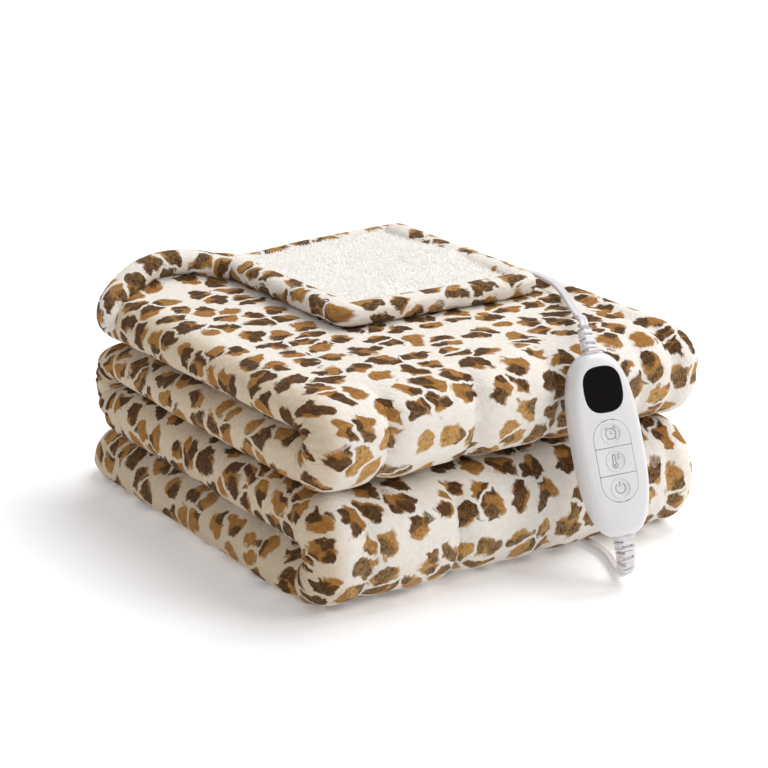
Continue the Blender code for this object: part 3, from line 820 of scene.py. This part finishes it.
def seamPuckers(points, places, x, share):
    # small gathers that run away from the stitched channels on the front folds
    for j, (layer, _, angle, _) in enumerate(places):
        if angle is None or layer % 2:
            continue
        channels = throw["lowerChannels"] if layer == 0 else throw["upperChannels"]
        for middle, part in channels:
            near = np.exp(-np.abs(x - middle) / throw["puckerReach"]) * (share > 0.5) * part
            ripple = np.sin(angle * 17 + 60 * np.abs(x - middle) + 9 * middle)
            points[j, :, 1] += throw["pucker"] * near * ripple * math.cos(angle)
    return points


def clothPlaces(points):
    # the print's coordinates: length along the strip's outer face, and length round each ring
    steps = np.linalg.norm(np.diff(points, axis=0), axis=2)
    count = points.shape[1]
    quarter = count // 4
    outer = np.maximum(steps[:, quarter], steps[:, 3 * quarter])
    v = np.concatenate([[0], np.cumsum(outer)])
    hop = np.linalg.norm(np.diff(np.concatenate([points, points[:, :1]], axis=1), axis=1), axis=2)
    u = np.concatenate([np.zeros((len(points), 1)), np.cumsum(hop, axis=1)], axis=1)
    return u, v


def layCloth(piece, count, placeOf, paintedSheen, deep):
    # the print's coordinates at each corner, from its ring j and its place k round the ring
    mesh = piece.data
    cloth = mesh.attributes.new("cloth", "FLOAT_VECTOR", "CORNER")
    corners = np.zeros(len(mesh.loops), int)
    mesh.loops.foreach_get("vertex_index", corners)
    values = np.zeros((len(corners), 3))
    for polygon in mesh.polygons:
        loops = np.array(polygon.loop_indices)
        j, k = corners[loops] // count, corners[loops] % count
        wraps = k.max() - k.min() > count // 2
        k = np.where(wraps & (k < count // 2), k + count, k)
        values[loops, 0], values[loops, 1] = placeOf(j, np.minimum(k, count))
    cloth.data.foreach_set("vector", values.ravel())
    # the painted sheen of the pile tips and the painted shade of the left faces, one value at each
    # point
    for name, field in (("paintedSheen", paintedSheen), ("deep", deep)):
        mesh.attributes.new(name, "FLOAT", "POINT").data.foreach_set("value", field.ravel())


def addThrow(finish):
    places, x, share, points, paintedSheen, deep = throwGrid()
    points = seamPuckers(points, places, x, share)
    points = billow(points, places, share)
    points[:, :, 2] = np.maximum(points[:, :, 2], 0.0)
    rows, count, _ = points.shape
    u, v = clothPlaces(points)
    points[:, :, 1] += stackFront
    faces = ringFaces(rows, count)
    throwPiece = addPiece("throw", points.reshape(-1, 3), faces, finish)
    layCloth(throwPiece, count, lambda j, k: (u[j, k], v[j]), paintedSheen, deep)
    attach(throwPiece, "throw")
    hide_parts("blanket")
    print("throw:", len(throwPiece.data.vertices), "points")


# the turned-back end: a padded hem, the curly side inside it, and the rolled back edge
flap = dict(
    left=-0.060, right=0.115, front=0.132, back=0.329, lift=0.0008,
    hemWide=0.0203, hemThick=0.0162, cornerSteps=4, cornerRound=0.0045,
    # an even amount of painted sheen on the pile tips of the hem and its crown
    arch=0.0010, sag=0.0035, paintedSheen=0.25, hemWaver=0.05, lipSwell=0.06,
    crownWide=0.0125, crownSteps=40, crownWaver=0.08,
    sherpaInset=0.0125, sherpaTop=0.0122, curl=0.0019, spacing=0.0016, rim=0.008,
    belly=0.0045, bellyMiddle=(0.085, 0.220), bellySpread=(0.045, 0.060), dome=0.0020, lean=0.0016,
    sink=0.0030, bedLift=0.0020,  # of the curly side's top and of its underside
    lip=((-0.0580, 0.3060, 0.1549), (-0.0711, 0.3130, 0.1588), (-0.0898, 0.3175, 0.1610),
         (-0.1092, 0.3175, 0.1600), (-0.1245, 0.3140, 0.1560), (-0.1410, 0.3070, 0.1487),
         (-0.1520, 0.3000, 0.1415), (-0.1570, 0.2920, 0.1315), (-0.1560, 0.2840, 0.1210)),
)


def flapGround(x, y):
    # height that the turned-back end lies on, arched up where its left corner rolls over
    arch = flap["arch"] * math.exp(-(((x - flap["left"]) / 0.030) ** 2))
    arch *= float(stepAt(0.250, 0.310, y))
    sag = flap["sag"] * math.exp(-(((x + 0.020) / 0.030) ** 2)) * float(stepAt(0.290, 0.329, y))
    return float(levelAt(4, np.float64(x), y)) + flap["lift"] + arch - sag


def hemSection(wide, thick, count=26):
    points = []
    for k in range(count):
        angle = 2 * math.pi * k / count
        c, s = math.cos(angle), math.sin(angle)
        x = wide / 2 * math.copysign(abs(c) ** 0.85, c)
        points.append((x, thick / 2 * math.copysign(abs(s) ** 0.85, s)))
    return points


def clothOnTube(piece, rings, count, start):
    biggest = max(rings, key=lambda ring: sum((a - b).length for a, b in zip(ring, ring[1:])))
    around = np.concatenate([[0], np.cumsum([
        (biggest[(k + 1) % count] - biggest[k]).length for k in range(count)
    ])])
    middles = [sum(ring, Vector()) / count for ring in rings]
    along = np.concatenate([[0], np.cumsum([(b - a).length for a, b in zip(middles, middles[1:])])])
    points = len(piece.data.vertices)
    # the hem and crown take the flap's even painted sheen and no painted shade
    layCloth(
        piece, count, lambda j, k: (around[k] + start[0], along[j] + start[1]),
        np.full(points, flap["paintedSheen"]), np.zeros(points),
    )


def addHem(finish):
    inset = flap["hemWide"] / 2
    left, right = flap["left"] + inset, flap["right"] - inset
    front, back = flap["front"] + inset, flap["back"] - inset * 0.6
    radius = flap["cornerRound"]
    route = [(right, back)]
    bend = front + radius
    for cx, cy, first in ((right - radius, bend, 0), (left + radius, bend, -90)):
        for i in range(flap["cornerSteps"] + 1):
            a = math.radians(first - 90 * i / flap["cornerSteps"])
            route.append((cx + radius * math.cos(a), cy + radius * math.sin(a)))
    route.append((left, back - 0.034))
    knots = [Vector((x, y + stackFront, flapGround(x, y) + flap["hemThick"] / 2)) for x, y in route]
    path = [knots[0]]
    for a, b in zip(knots, knots[1:]):
        count = max(1, round((b - a).length / 0.004))
        for i in range(1, count + 1):
            p = a.lerp(b, i / count)
            z = flapGround(p.x, p.y - stackFront) + flap["hemThick"] / 2
            path.append(Vector((p.x, p.y, z)))
    turnedUp = smoothRoute([path[-1], *inRow(flap["lip"])], 0.004)
    hemEnd = len(path)
    path = path + turnedUp[1:]
    section = hemSection(flap["hemWide"], flap["hemThick"])
    last = len(path) - 1

    def swell(i):
        lipShare = min(1.0, max(0.0, (i - hemEnd) / 12))
        uneven = flap["hemWaver"] * wave(i * 0.004, 0.3, 0.7, 0.022)
        end = math.sin(math.pi / 2 * min(1.0, (last - i + 0.4) / 5))
        start = math.sin(math.pi / 2 * min(1.0, (i + 0.4) / 3))
        return (1 + flap["lipSwell"] * lipShare + uneven) * end * start

    rings = sweep(path, section, scale=swell)
    hem = addPiece("flap_hem", flatten(rings), ringFaces(len(rings), len(section)), finish)
    clothOnTube(hem, rings, len(section), (0.9, 0.2))
    return hem


def addBackHem(finish):
    # the crown of the fold along the back of the turned-back end, seen as a thin printed edge
    path = []
    for i in range(flap["crownSteps"] + 1):
        x = flap["right"] - 0.004 + (flap["left"] + 0.010 - flap["right"]) * i / flap["crownSteps"]
        z = flapGround(x, flap["back"]) + 0.0062
        path.append(Vector((x, flap["back"] - 0.0055 + stackFront, z)))
    section = hemSection(flap["crownWide"], flap["crownWide"], 20)
    uneven = flap["crownWaver"]
    rings = sweep(path, section, scale=lambda i: 1 + uneven * wave(i * 0.005, 1.3, 0.2, 0.03))
    crown = addPiece("flap_crown", flatten(rings), ringFaces(len(rings), len(section)), finish)
    clothOnTube(crown, rings, len(section), (1.3, 0.6))
    return crown


def curlHeight(x, y):
    # rounded clumps of curly pile with creases between them
    p = Vector((x, y, 0.0))
    bend = Vector((noise.noise(p / 0.012), noise.noise(p / 0.012 + Vector((7, 3, 1))), 0)) * 0.004
    near = noise.voronoi((p + bend) / 0.0088)[0]
    small = noise.voronoi((p + bend * 1.6) / 0.0040 + Vector((0, 0, 3)))[0]
    clump = 1 - min(1.0, (near[0] / 0.62) ** 1.4)
    tuft = 1 - min(1.0, (small[0] / 0.62) ** 1.4)
    return 0.66 * clump + 0.34 * tuft + 0.25 * noise.noise(p / 0.003)


def curlTree(finish):
    # tufts of curly pile, scattered over the upper side of the base and leaning every way
    g = Growth("sherpa_tufts", Density=420000.0, Root=0.0006, Height=0.0022, Lean=0.50, Seed=7)
    normal = g.node("GeometryNodeInputNormal")
    upper = g.node("ShaderNodeSeparateXYZ", inputs=[normal], output="Z").maths("GREATER_THAN", 0.15)
    points = g.node("GeometryNodeDistributePointsOnFaces", inputs={
        "Mesh": g.inputs["Base"], "Selection": upper,
        "Density": g.inputs["Density"], "Seed": g.inputs["Seed"],
    })
    out = Value(g, g.pick(g.last.outputs, "Normal"))
    stray = g.node(
        "FunctionNodeRandomValue", dict(data_type="FLOAT_VECTOR"),
        {"Min": (-1, -1, -1), "Max": (1, 1, 1)},
    )
    stray = g.node(
        "ShaderNodeVectorMath", dict(operation="SCALE"),
        {"Vector": stray, "Scale": g.inputs["Lean"]},
    )
    leaning = g.node("ShaderNodeVectorMath", dict(operation="ADD"), [out, stray])
    turn = g.node("FunctionNodeAlignRotationToVector", dict(axis="Z"), {"Vector": leaning})
    tuft = g.node("GeometryNodeMeshCone", dict(fill_type="NGON"), {
        "Vertices": 3, "Radius Top": 0.0,
        "Radius Bottom": g.inputs["Root"], "Depth": g.inputs["Height"],
    })
    size = g.node("FunctionNodeRandomValue", inputs={"Min": 0.6, "Max": 1.25})
    placed = g.node("GeometryNodeInstanceOnPoints", inputs={
        "Points": points, "Instance": tuft, "Rotation": turn, "Scale": size,
    })
    return g.finished(placed, finish, withBase=True)


def addSherpa(finish):
    inset = flap["sherpaInset"]
    low = (flap["left"] + inset, flap["front"] + inset)
    high = (flap["right"] - inset * 0.6, flap["back"] - 0.007)
    nx = round((high[0] - low[0]) / flap["spacing"])
    ny = round((high[1] - low[1]) / flap["spacing"])
    middle, spread = flap["bellyMiddle"], flap["bellySpread"]
    top, under = [], []
    for i in range(nx + 1):
        for j in range(ny + 1):
            x = low[0] + (high[0] - low[0]) * i / nx
            y = low[1] + (high[1] - low[1]) * j / ny
            ground = flapGround(x, y)
            near = min(x - low[0], y - low[1], high[0] - x) / flap["rim"]
            rise = math.sin(math.pi / 2 * min(1.0, max(0.0, near))) ** 0.6
            away = ((x - middle[0]) / spread[0]) ** 2 + ((y - middle[1]) / spread[1]) ** 2
            belly = flap["belly"] * math.exp(-away)
            dome = flap["dome"] * wave(x, y, 2.0, 0.05)
            height = flap["sherpaTop"] * (0.55 + 0.45 * rise) + belly + dome - flap["sink"]
            height += flap["curl"] * curlHeight(x, y)
            leanX, leanY = (flap["lean"] * noise.noise(Vector((x, y, z)) / 0.006) for z in (4, 9))
            top.append(Vector((x + leanX, y + leanY + stackFront, ground + height)))
            under.append(Vector((x, y + stackFront, ground + flap["bedLift"])))
    row = ny + 1
    base = len(top)
    faces = []
    for i in range(nx):
        for j in range(ny):
            a, b, c, d = i * row + j, (i + 1) * row + j, (i + 1) * row + j + 1, i * row + j + 1
            faces.append((a, b, c, d))
            faces.append((base + d, base + c, base + b, base + a))
    rim = [i * row for i in range(nx + 1)] + [nx * row + j for j in range(1, row)]
    rim += [i * row + ny for i in reversed(range(nx))] + [j for j in reversed(range(1, ny))]
    for a, b in zip(rim, rim[1:] + rim[:1]):
        faces.append((a, base + a, base + b, b))
    bed = addPiece("sherpa_bed", top + under, faces, finish)
    piece = curlTree(finish).growOn(bed, "flap_sherpa")
    bpy.data.objects.remove(bed)
    return piece


def addFlap(plush, sherpa):
    for piece in (addHem(plush), addBackHem(plush), addSherpa(sherpa)):
        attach(piece, "throw")
        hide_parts("blanket")
        print(piece.name + ":", len(piece.data.vertices), "points")


# the hand controller, in its own frame: x across, z up its length, -y out of its face
controller = dict(
    middle=(0.0485, -0.0275, 0.0931), lean=0.370, tilt=-0.065, yaw=-0.240, front=0.0110,
    keys=(("key_timer", "timer_key", 0.0075), ("key_heat", "heat_key", -0.0110),
          ("key_power", "power_key", -0.0295)),
    pitch=0.0185, keyWide=0.0262, keyTop=0.0112, dishRadius=0.0076, dishDepth=0.0010,
    line=0.00012, icon=0.00028, lineSides=6, dishRim=0.0068, rim=0.00042,
    sink=0.00002, grooveLift=0.00006, grooveGap=0.00015,  # how the icons and the groove lines lie
    easeShell=0.00025, easeDisplay=0.0003, easeKey=0.00018,
)


def controllerPlace():
    turn = Euler((-controller["lean"], controller["tilt"], controller["yaw"]), "XYZ")
    middle = inRow([controller["middle"]])[0]
    return Matrix.Translation(middle) @ turn.to_matrix().to_4x4()


def softened(node, body, finish, edge, name, crease=32):
    # a CAD solid with its flat faces joined up again and its edges eased
    shape = bmesh.new()
    shape.from_mesh(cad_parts[node].data)
    bmesh.ops.remove_doubles(shape, verts=shape.verts, dist=0.000002)
    flat = math.radians(0.6)
    bmesh.ops.dissolve_limit(shape, angle_limit=flat, verts=shape.verts, edges=shape.edges)
    mesh = bpy.data.meshes.new(name)
    shape.to_mesh(mesh)
    shape.free()
    mesh.materials.append(finish)
    piece = bpy.data.objects.new(name, mesh)
    bpy.context.scene.collection.objects.link(piece)
    bevel = piece.modifiers.new("ease", "BEVEL")
    bevel.width = edge
    bevel.segments = 2
    bevel.limit_method = "ANGLE"
    bevel.angle_limit = math.radians(38)
    bevel.use_clamp_overlap = True
    mesh.shade_smooth()
    mesh.set_sharp_from_angle(angle=math.radians(crease))
    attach(piece, body)
    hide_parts(node)


def tube(line, radius, closed):
    # rings of a thin round line through points in the controller's frame
    rings = []
    count, sides = len(line), controller["lineSides"]
    for i, point in enumerate(line):
        before = line[i - 1] if (closed or i > 0) else point
        after = line[(i + 1) % count] if (closed or i < count - 1) else point
        ahead = (after - before).normalized()
        out = Vector((0, -1, 0))
        side = ahead.cross(out).normalized()
        rings.append([
            point + (side * math.cos(a) + out * math.sin(a)) * radius
            for a in (2 * math.pi * k / sides for k in range(sides))
        ])
    faces = ringFaces(count, sides, closedEnds=not closed)
    if closed:
        faces += bandFaces(count, sides)
    return rings, faces


def addLines(name, lines, radius, body, finish):
    points, faces = [], []
    for line, closed in lines:
        rings, own = tube(line, radius, closed)
        faces += [tuple(i + len(points) for i in face) for face in own]
        points += flatten(rings)
    place = controllerPlace()
    piece = addPiece(name, [place @ p for p in points], faces, finish)
    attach(piece, body)
    return piece


def arc(cx, cz, radius, first, last, steps=24):
    angles = [math.radians(first + (last - first) * i / steps) for i in range(steps + 1)]
    return [(cx + radius * math.cos(a), cz + radius * math.sin(a)) for a in angles]


def iconStrokes(kind):
    if kind == "key_power":
        return [(arc(0, 0, 0.0035, 125, 415), False), ([(0, 0.0010), (0, 0.0045)], False)]
    if kind == "key_timer":
        strokes = [(arc(0, -0.0003, 0.0036, 0, 345), True)]
        strokes += [([(0, 0.0018), (0, -0.0004), (0.0016, -0.0004)], False)]
        strokes += [(arc(0, -0.0003, 0.0050, first, first + 28, 6), False) for first in (40, 112)]
        strokes += [([(s * 0.0025, -0.0034), (s * 0.0032, -0.0043)], False) for s in (1, -1)]
        return strokes
    bulb = arc(-0.0008, -0.0030, 0.0019, 122, 418)
    stem = [(0.0002, 0.0032), *arc(-0.0008, 0.0034, 0.0010, 0, 180, 10)[1:]]
    strokes = [(bulb + stem, True), (arc(-0.0008, -0.0030, 0.0006, 0, 345, 10), True)]
    strokes += [([(0.0016, z), (0.0031, z)], False) for z in (0.0010, 0.0024, 0.0038)]
    return strokes


def addController(plastic, glass, ink):
    for node, name in (("controller_front", "housing_front"), ("controller_back", "housing_back")):
        softened(node, "throw", plastic, controller["easeShell"], name)
    ease = controller["easeDisplay"]
    softened("display", "throw", glass, ease, "display_window")
    dish, deep = controller["dishRadius"], controller["dishDepth"]
    ball = (dish**2 + deep**2) / (2 * deep)  # radius of the ball that the dish is cut with
    for node, body, middle in controller["keys"]:
        cap = node.replace("key_", "keycap_")
        softened(node, body, plastic, controller["easeKey"], cap, crease=9)
        lines = []
        for stroke, closed in iconStrokes(node):
            line = []
            for x, z in stroke:
                depth = math.sqrt(ball**2 - x * x - z * z) - (ball - deep)
                y = -controller["keyTop"] + depth - controller["sink"]
                line.append(Vector((x, y, middle + z)))
            lines.append((line, closed))
        addLines("icon_" + node[4:], lines, controller["icon"], body, ink)
        circle = arc(0, middle, controller["dishRim"], 0, 352, 44)
        rim = [Vector((x, -controller["keyTop"], z)) for x, z in circle]
        ring = addLines("rim_" + node[4:], [(rim, True)], controller["rim"], body, plastic)

    high = controller["keys"][0][2] + controller["pitch"] / 2
    low = controller["keys"][-1][2] - controller["pitch"] / 2
    radius = controller["keyWide"] / 2 + controller["grooveGap"]
    outline = arc(0, high - controller["keyWide"] / 2, radius, 0, 180, 30)
    outline += arc(0, low + controller["keyWide"] / 2, radius, 180, 360, 30)
    y = -controller["front"] + controller["grooveLift"]
    lines = [([Vector((x, y, z)) for x, z in outline], True)]
    for first, second in zip(controller["keys"], controller["keys"][1:]):
        z = (first[2] + second[2]) / 2
        lines.append(([Vector((-radius, y, z)), Vector((radius, y, z))], False))
    addLines("panel_lines", lines, controller["line"], "throw", ink)
    print("controller: shells, display, keys, icons")


# strain reliefs: rings round a core, joined by bridges that change sides from slot to slot
relief = dict(
    pitch=0.0036, ring=0.0021, rings=6, flat=0.86, corner=0.30, core=0.60, shoulder=0.0022,
    bridge=0.62, bridgeThick=0.18, bridgeOut=0.40, bridgeCorner=0.12,  # shares of the ring's width
)
topBoot = dict(
    name="relief_top", node="boot_top", thick=0.0058, thin=0.0047, start=0.0072,
    route=((0, 0, 0.0585), (0, 0, 0.0615), (0, 0, 0.0650), (0.0012, 0.0050, 0.0780)),
)
bottomBoot = dict(
    name="relief_bottom", node="boot_bottom", thick=0.0072, thin=0.0050, start=0.0078,
    route=((0, 0, -0.0585), (0, 0, -0.0615), (0, 0, -0.0650), (0, 0.0020, -0.0758),
           (0.0006, 0.0075, -0.0834), (0.0009, 0.0148, -0.0856)),
)


def slabTree(finish):
    # a rounded slab of unit size at each point of the base, turned and scaled as the point says
    g = Growth("rounded_slabs", Width=1.0, Height=1.0, Thickness=1.0, Corner=0.12, Ease=0.10)
    outline = g.node(
        "GeometryNodeCurvePrimitiveQuadrilateral", dict(mode="RECTANGLE"),
        {"Width": g.inputs["Width"], "Height": g.inputs["Height"]},
    )
    outline = g.node(
        "GeometryNodeFilletCurve", dict(mode="POLY"),
        {"Curve": outline, "Radius": g.inputs["Corner"], "Limit Radius": True, "Count": 4},
    )
    half = g.inputs["Thickness"] * 0.5
    ends = [g.node("ShaderNodeCombineXYZ", inputs=[None, None, z]) for z in (-half, half)]
    line = g.node("GeometryNodeCurvePrimitiveLine", inputs={"Start": ends[0], "End": ends[1]})
    line = g.node("GeometryNodeResampleCurve", inputs={"Curve": line, "Count": 5})
    share = g.node("GeometryNodeSplineParameter") * 2 - 1
    away = share.maths("ABSOLUTE").maths("POWER", 3.0)
    slab = g.node("GeometryNodeCurveToMesh", inputs={
        "Curve": line, "Profile Curve": outline,
        "Scale": 1 - away * g.inputs["Ease"], "Fill Caps": True,
    })
    turn, grow = (
        g.node("GeometryNodeInputNamedAttribute", dict(data_type="FLOAT_VECTOR"), {"Name": name})
        for name in ("turn", "grow")
    )
    placed = g.node("GeometryNodeInstanceOnPoints", inputs={
        "Points": g.inputs["Base"], "Instance": slab,
        "Rotation": g.node("FunctionNodeEulerToRotation", inputs=[turn]), "Scale": grow,
    })
    return g.finished(placed, finish)


def seeds(name, places):
    # the small mesh that slabs grow on, from points with their directions and sizes
    mesh = bpy.data.meshes.new(name)
    mesh.from_pydata([tuple(point) for point, _, _ in places], [], [])
    turn = mesh.attributes.new("turn", "FLOAT_VECTOR", "POINT")
    grow = mesh.attributes.new("grow", "FLOAT_VECTOR", "POINT")
    for i, (_, (across, up, _), size) in enumerate(places):
        turned = Matrix((across, up, across.cross(up))).transposed()
        turn.data[i].vector = turned.to_euler()
        grow.data[i].vector = size
    made = bpy.data.objects.new(name, mesh)
    bpy.context.scene.collection.objects.link(made)
    return made


def growSlabs(slabs, name, places, corner):
    base = seeds(name, places)
    grown = slabs.growOn(base, name + "_grown", Corner=corner)
    bpy.data.objects.remove(base)
    return grown


def joined(name, pieces, finish):
    # one mesh of several, whose objects go
    shape = bmesh.new()
    for piece in pieces:
        shape.from_mesh(piece.data)
        bpy.data.objects.remove(piece)
    mesh = bpy.data.meshes.new(name)
    shape.to_mesh(mesh)
    shape.free()
    mesh.materials.clear()
    mesh.materials.append(finish)
    mesh.shade_smooth()
    mesh.set_sharp_from_angle(angle=math.radians(42))
    made = bpy.data.objects.new(name, mesh)
    bpy.context.scene.collection.objects.link(made)
    return made


def roundedSection(wide, high, corner, count=5):
    points = []
    middles = ((1, 1, 0), (-1, 1, 90), (-1, -1, 180), (1, -1, 270))
    for mx, my, first in middles:
        cx, cy = mx * (wide / 2 - corner), my * (high / 2 - corner)
        for i in range(count):
            a = math.radians(first + 90 * i / (count - 1))
            points.append((cx + corner * math.cos(a), cy + corner * math.sin(a)))
    return points


def addRelief(boot, slabs, finish):
    place = controllerPlace()
    path = [place @ p for p in smoothRoute(boot["route"], 0.0006)]
    frames = framesAlong(path)
    along = np.concatenate([[0], np.cumsum([(b - a).length for a, b in zip(path, path[1:])])])
    flat, corner = relief["flat"], relief["corner"]

    def thickAt(distance):
        return boot["thick"] + (boot["thin"] - boot["thick"]) * min(1.0, distance / along[-1])

    def at(distance):
        i = min(int(np.searchsorted(along, distance)), len(path) - 1)
        return path[i], frames[i]

    rings, bridges = [], []
    gap = relief["pitch"] - relief["ring"] * 0.8
    for n in range(relief["rings"]):
        distance = boot["start"] + n * relief["pitch"]
        point, placing = at(distance)
        wide = thickAt(distance) * 2
        rings.append((point, placing, (wide, wide * flat, relief["ring"])))
        point, placing = at(distance - relief["pitch"] / 2)
        across, up, _ = placing
        long, thick, out = relief["bridge"], relief["bridgeThick"], relief["bridgeOut"]
        for way in (1, -1):
            if n % 2:
                place, size = across * (way * wide * out), (thick, flat * long)
            else:
                place, size = up * (way * wide * flat * out), (long, flat * thick)
            bridges.append((point + place, placing, (wide * size[0], wide * size[1], gap)))
    made = [
        growSlabs(slabs, boot["name"] + "_rings", rings, corner),
        growSlabs(slabs, boot["name"] + "_bridges", bridges, relief["bridgeCorner"]),
    ]
    last = along[-1]
    firstRing = boot["start"] - relief["pitch"] * 0.5

    def coreScale(i):
        distance = along[i]
        thick = thickAt(distance) / boot["thick"]
        if distance < firstRing:
            return thick * 1.02
        if distance > last - relief["shoulder"]:
            end = (distance - last + relief["shoulder"]) / relief["shoulder"]
            return thick * (0.98 - 0.30 * end**2)
        inRings = distance < boot["start"] + (relief["rings"] - 0.6) * relief["pitch"]
        return thick * (relief["core"] if inRings else 0.98)

    wide = boot["thick"] * 2
    section = roundedSection(wide, wide * flat, wide * corner * flat)
    core = sweep(path, section, scale=coreScale)
    faces = ringFaces(len(core), len(section))
    made.append(addPiece(boot["name"] + "_core", flatten(core), faces, finish))
    piece = joined(boot["name"], made, finish)
    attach(piece, "throw")
    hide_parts(boot["node"])


# the plug, whose cord comes in along x, and the tie round the coil
plug = dict(
    profile=((0.0, 0.30, 0.42), (0.05, 0.40, 0.52), (0.16, 0.44, 0.56), (0.20, 0.62, 0.74),
             (0.30, 0.80, 0.88), (0.46, 0.88, 0.94), (0.66, 0.93, 0.97), (0.84, 1.0, 1.0),
             (0.93, 1.0, 1.0), (0.985, 0.985, 0.98), (1.0, 0.94, 0.92)),
    ridges=6, ridgeFrom=0.40, ridgeTo=0.76, ridgeThick=0.0011, ridgeHigh=0.62, ridgeOut=0.0009,
    ridgeCorner=0.08,
)
tie = dict(angle=205, wide=0.0075, thick=0.0008, out=0.0003)


def addPlug(slabs, finish):
    low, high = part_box("plug_body")
    middle, size = (low + high) / 2, high - low
    rings = []
    for share, wide, tall in plug["profile"]:
        section = roundedSection(size.y * wide, size.z * tall, size.z * tall * 0.36, 6)
        x = high.x - share * size.x
        rings.append([Vector((x, middle.y + a, middle.z + b)) for a, b in section])
    body = addPiece("plug_shell", flatten(rings), ringFaces(len(rings), len(rings[0])), finish)
    placing = (Vector((0, 1, 0)), Vector((0, 0, 1)), Vector((1, 0, 0)))
    places = []
    for n in range(plug["ridges"]):
        share = plug["ridgeFrom"] + (plug["ridgeTo"] - plug["ridgeFrom"]) * n / (plug["ridges"] - 1)
        wide = np.interp(share, [p[0] for p in plug["profile"]], [p[1] for p in plug["profile"]])
        scale = (size.y * wide + plug["ridgeOut"], size.z * plug["ridgeHigh"], plug["ridgeThick"])
        places.append((Vector((high.x - share * size.x, middle.y, middle.z)), placing, scale))
    ridges = growSlabs(slabs, "plug_ridges", places, plug["ridgeCorner"])
    piece = joined("plug_moulding", [body, ridges], finish)
    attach(piece, "throw")
    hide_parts("plug_body")
    return piece


def addTie(finish):
    # a soft strap drawn round the coil's section
    low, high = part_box("mains_coil")
    outer = (high.x - low.x) / 2
    inner = mains["turnRadii"][-1] - mains["thick"] / 2 - tie["out"]
    reach = outer - inner + tie["out"]
    angle = math.radians(tie["angle"])
    out = Vector((math.cos(angle), math.sin(angle), 0))
    along = Vector((-math.sin(angle), math.cos(angle), 0))
    middle = Vector(((low.x + high.x) / 2, (low.y + high.y) / 2, 0)) + out * (inner + reach / 2)
    top = mains["lift"] + mains["storey"] + mains["wide"] / 2 + 0.0004
    loops = []
    for grow in (0.0, tie["thick"]):
        section = roundedSection(reach + 2 * grow, top + grow, 0.0022 + grow, 6)
        loops.append([middle + out * a + Vector((0, 0, b + (top + grow) / 2)) for a, b in section])
    rings = []
    for loop, way in ((loops[0], -1), (loops[0], 1), (loops[1], 1), (loops[1], -1)):
        rings.append([p + along * (way * tie["wide"] / 2) for p in loop])
    count = len(rings[0])
    faces = ringFaces(len(rings), count, closedEnds=False) + bandFaces(len(rings), count)
    strap = addPiece("coil_tie", flatten(rings), faces, finish)
    ease = strap.modifiers.new("ease", "BEVEL")
    ease.width, ease.segments, ease.limit_method = 0.0002, 2, "ANGLE"
    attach(strap, "throw")
    return strap


addCamera()
addStudio().data.materials.append(floorFinish())
plush, sherpa, plastic, glass = plushFinish(), sherpaFinish(), plasticFinish(), displayFinish()
ink, vinyl, nickel = printFinish(), vinylFinish(), nickelFinish()
print("camera, studio and finishes ready")

for node in ("plug_blade_wide", "plug_blade_narrow"):
    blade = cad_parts[node].data
    blade.materials.clear()
    blade.materials.append(nickel)
slabs = slabTree(vinyl)
plugPieces = [addPlug(slabs, vinyl), addTie(vinyl)]
plugPieces += [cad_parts[node] for node in ("plug_blade_wide", "plug_blade_narrow")]
addLead(vinyl)
addMains(vinyl)
for boot in (topBoot, bottomBoot):
    addRelief(boot, slabs, vinyl)
print("cords, strain reliefs, coil and plug made")
addThrow(plush)
addFlap(plush, sherpa)
addController(plastic, glass, ink)

print("all pieces made")
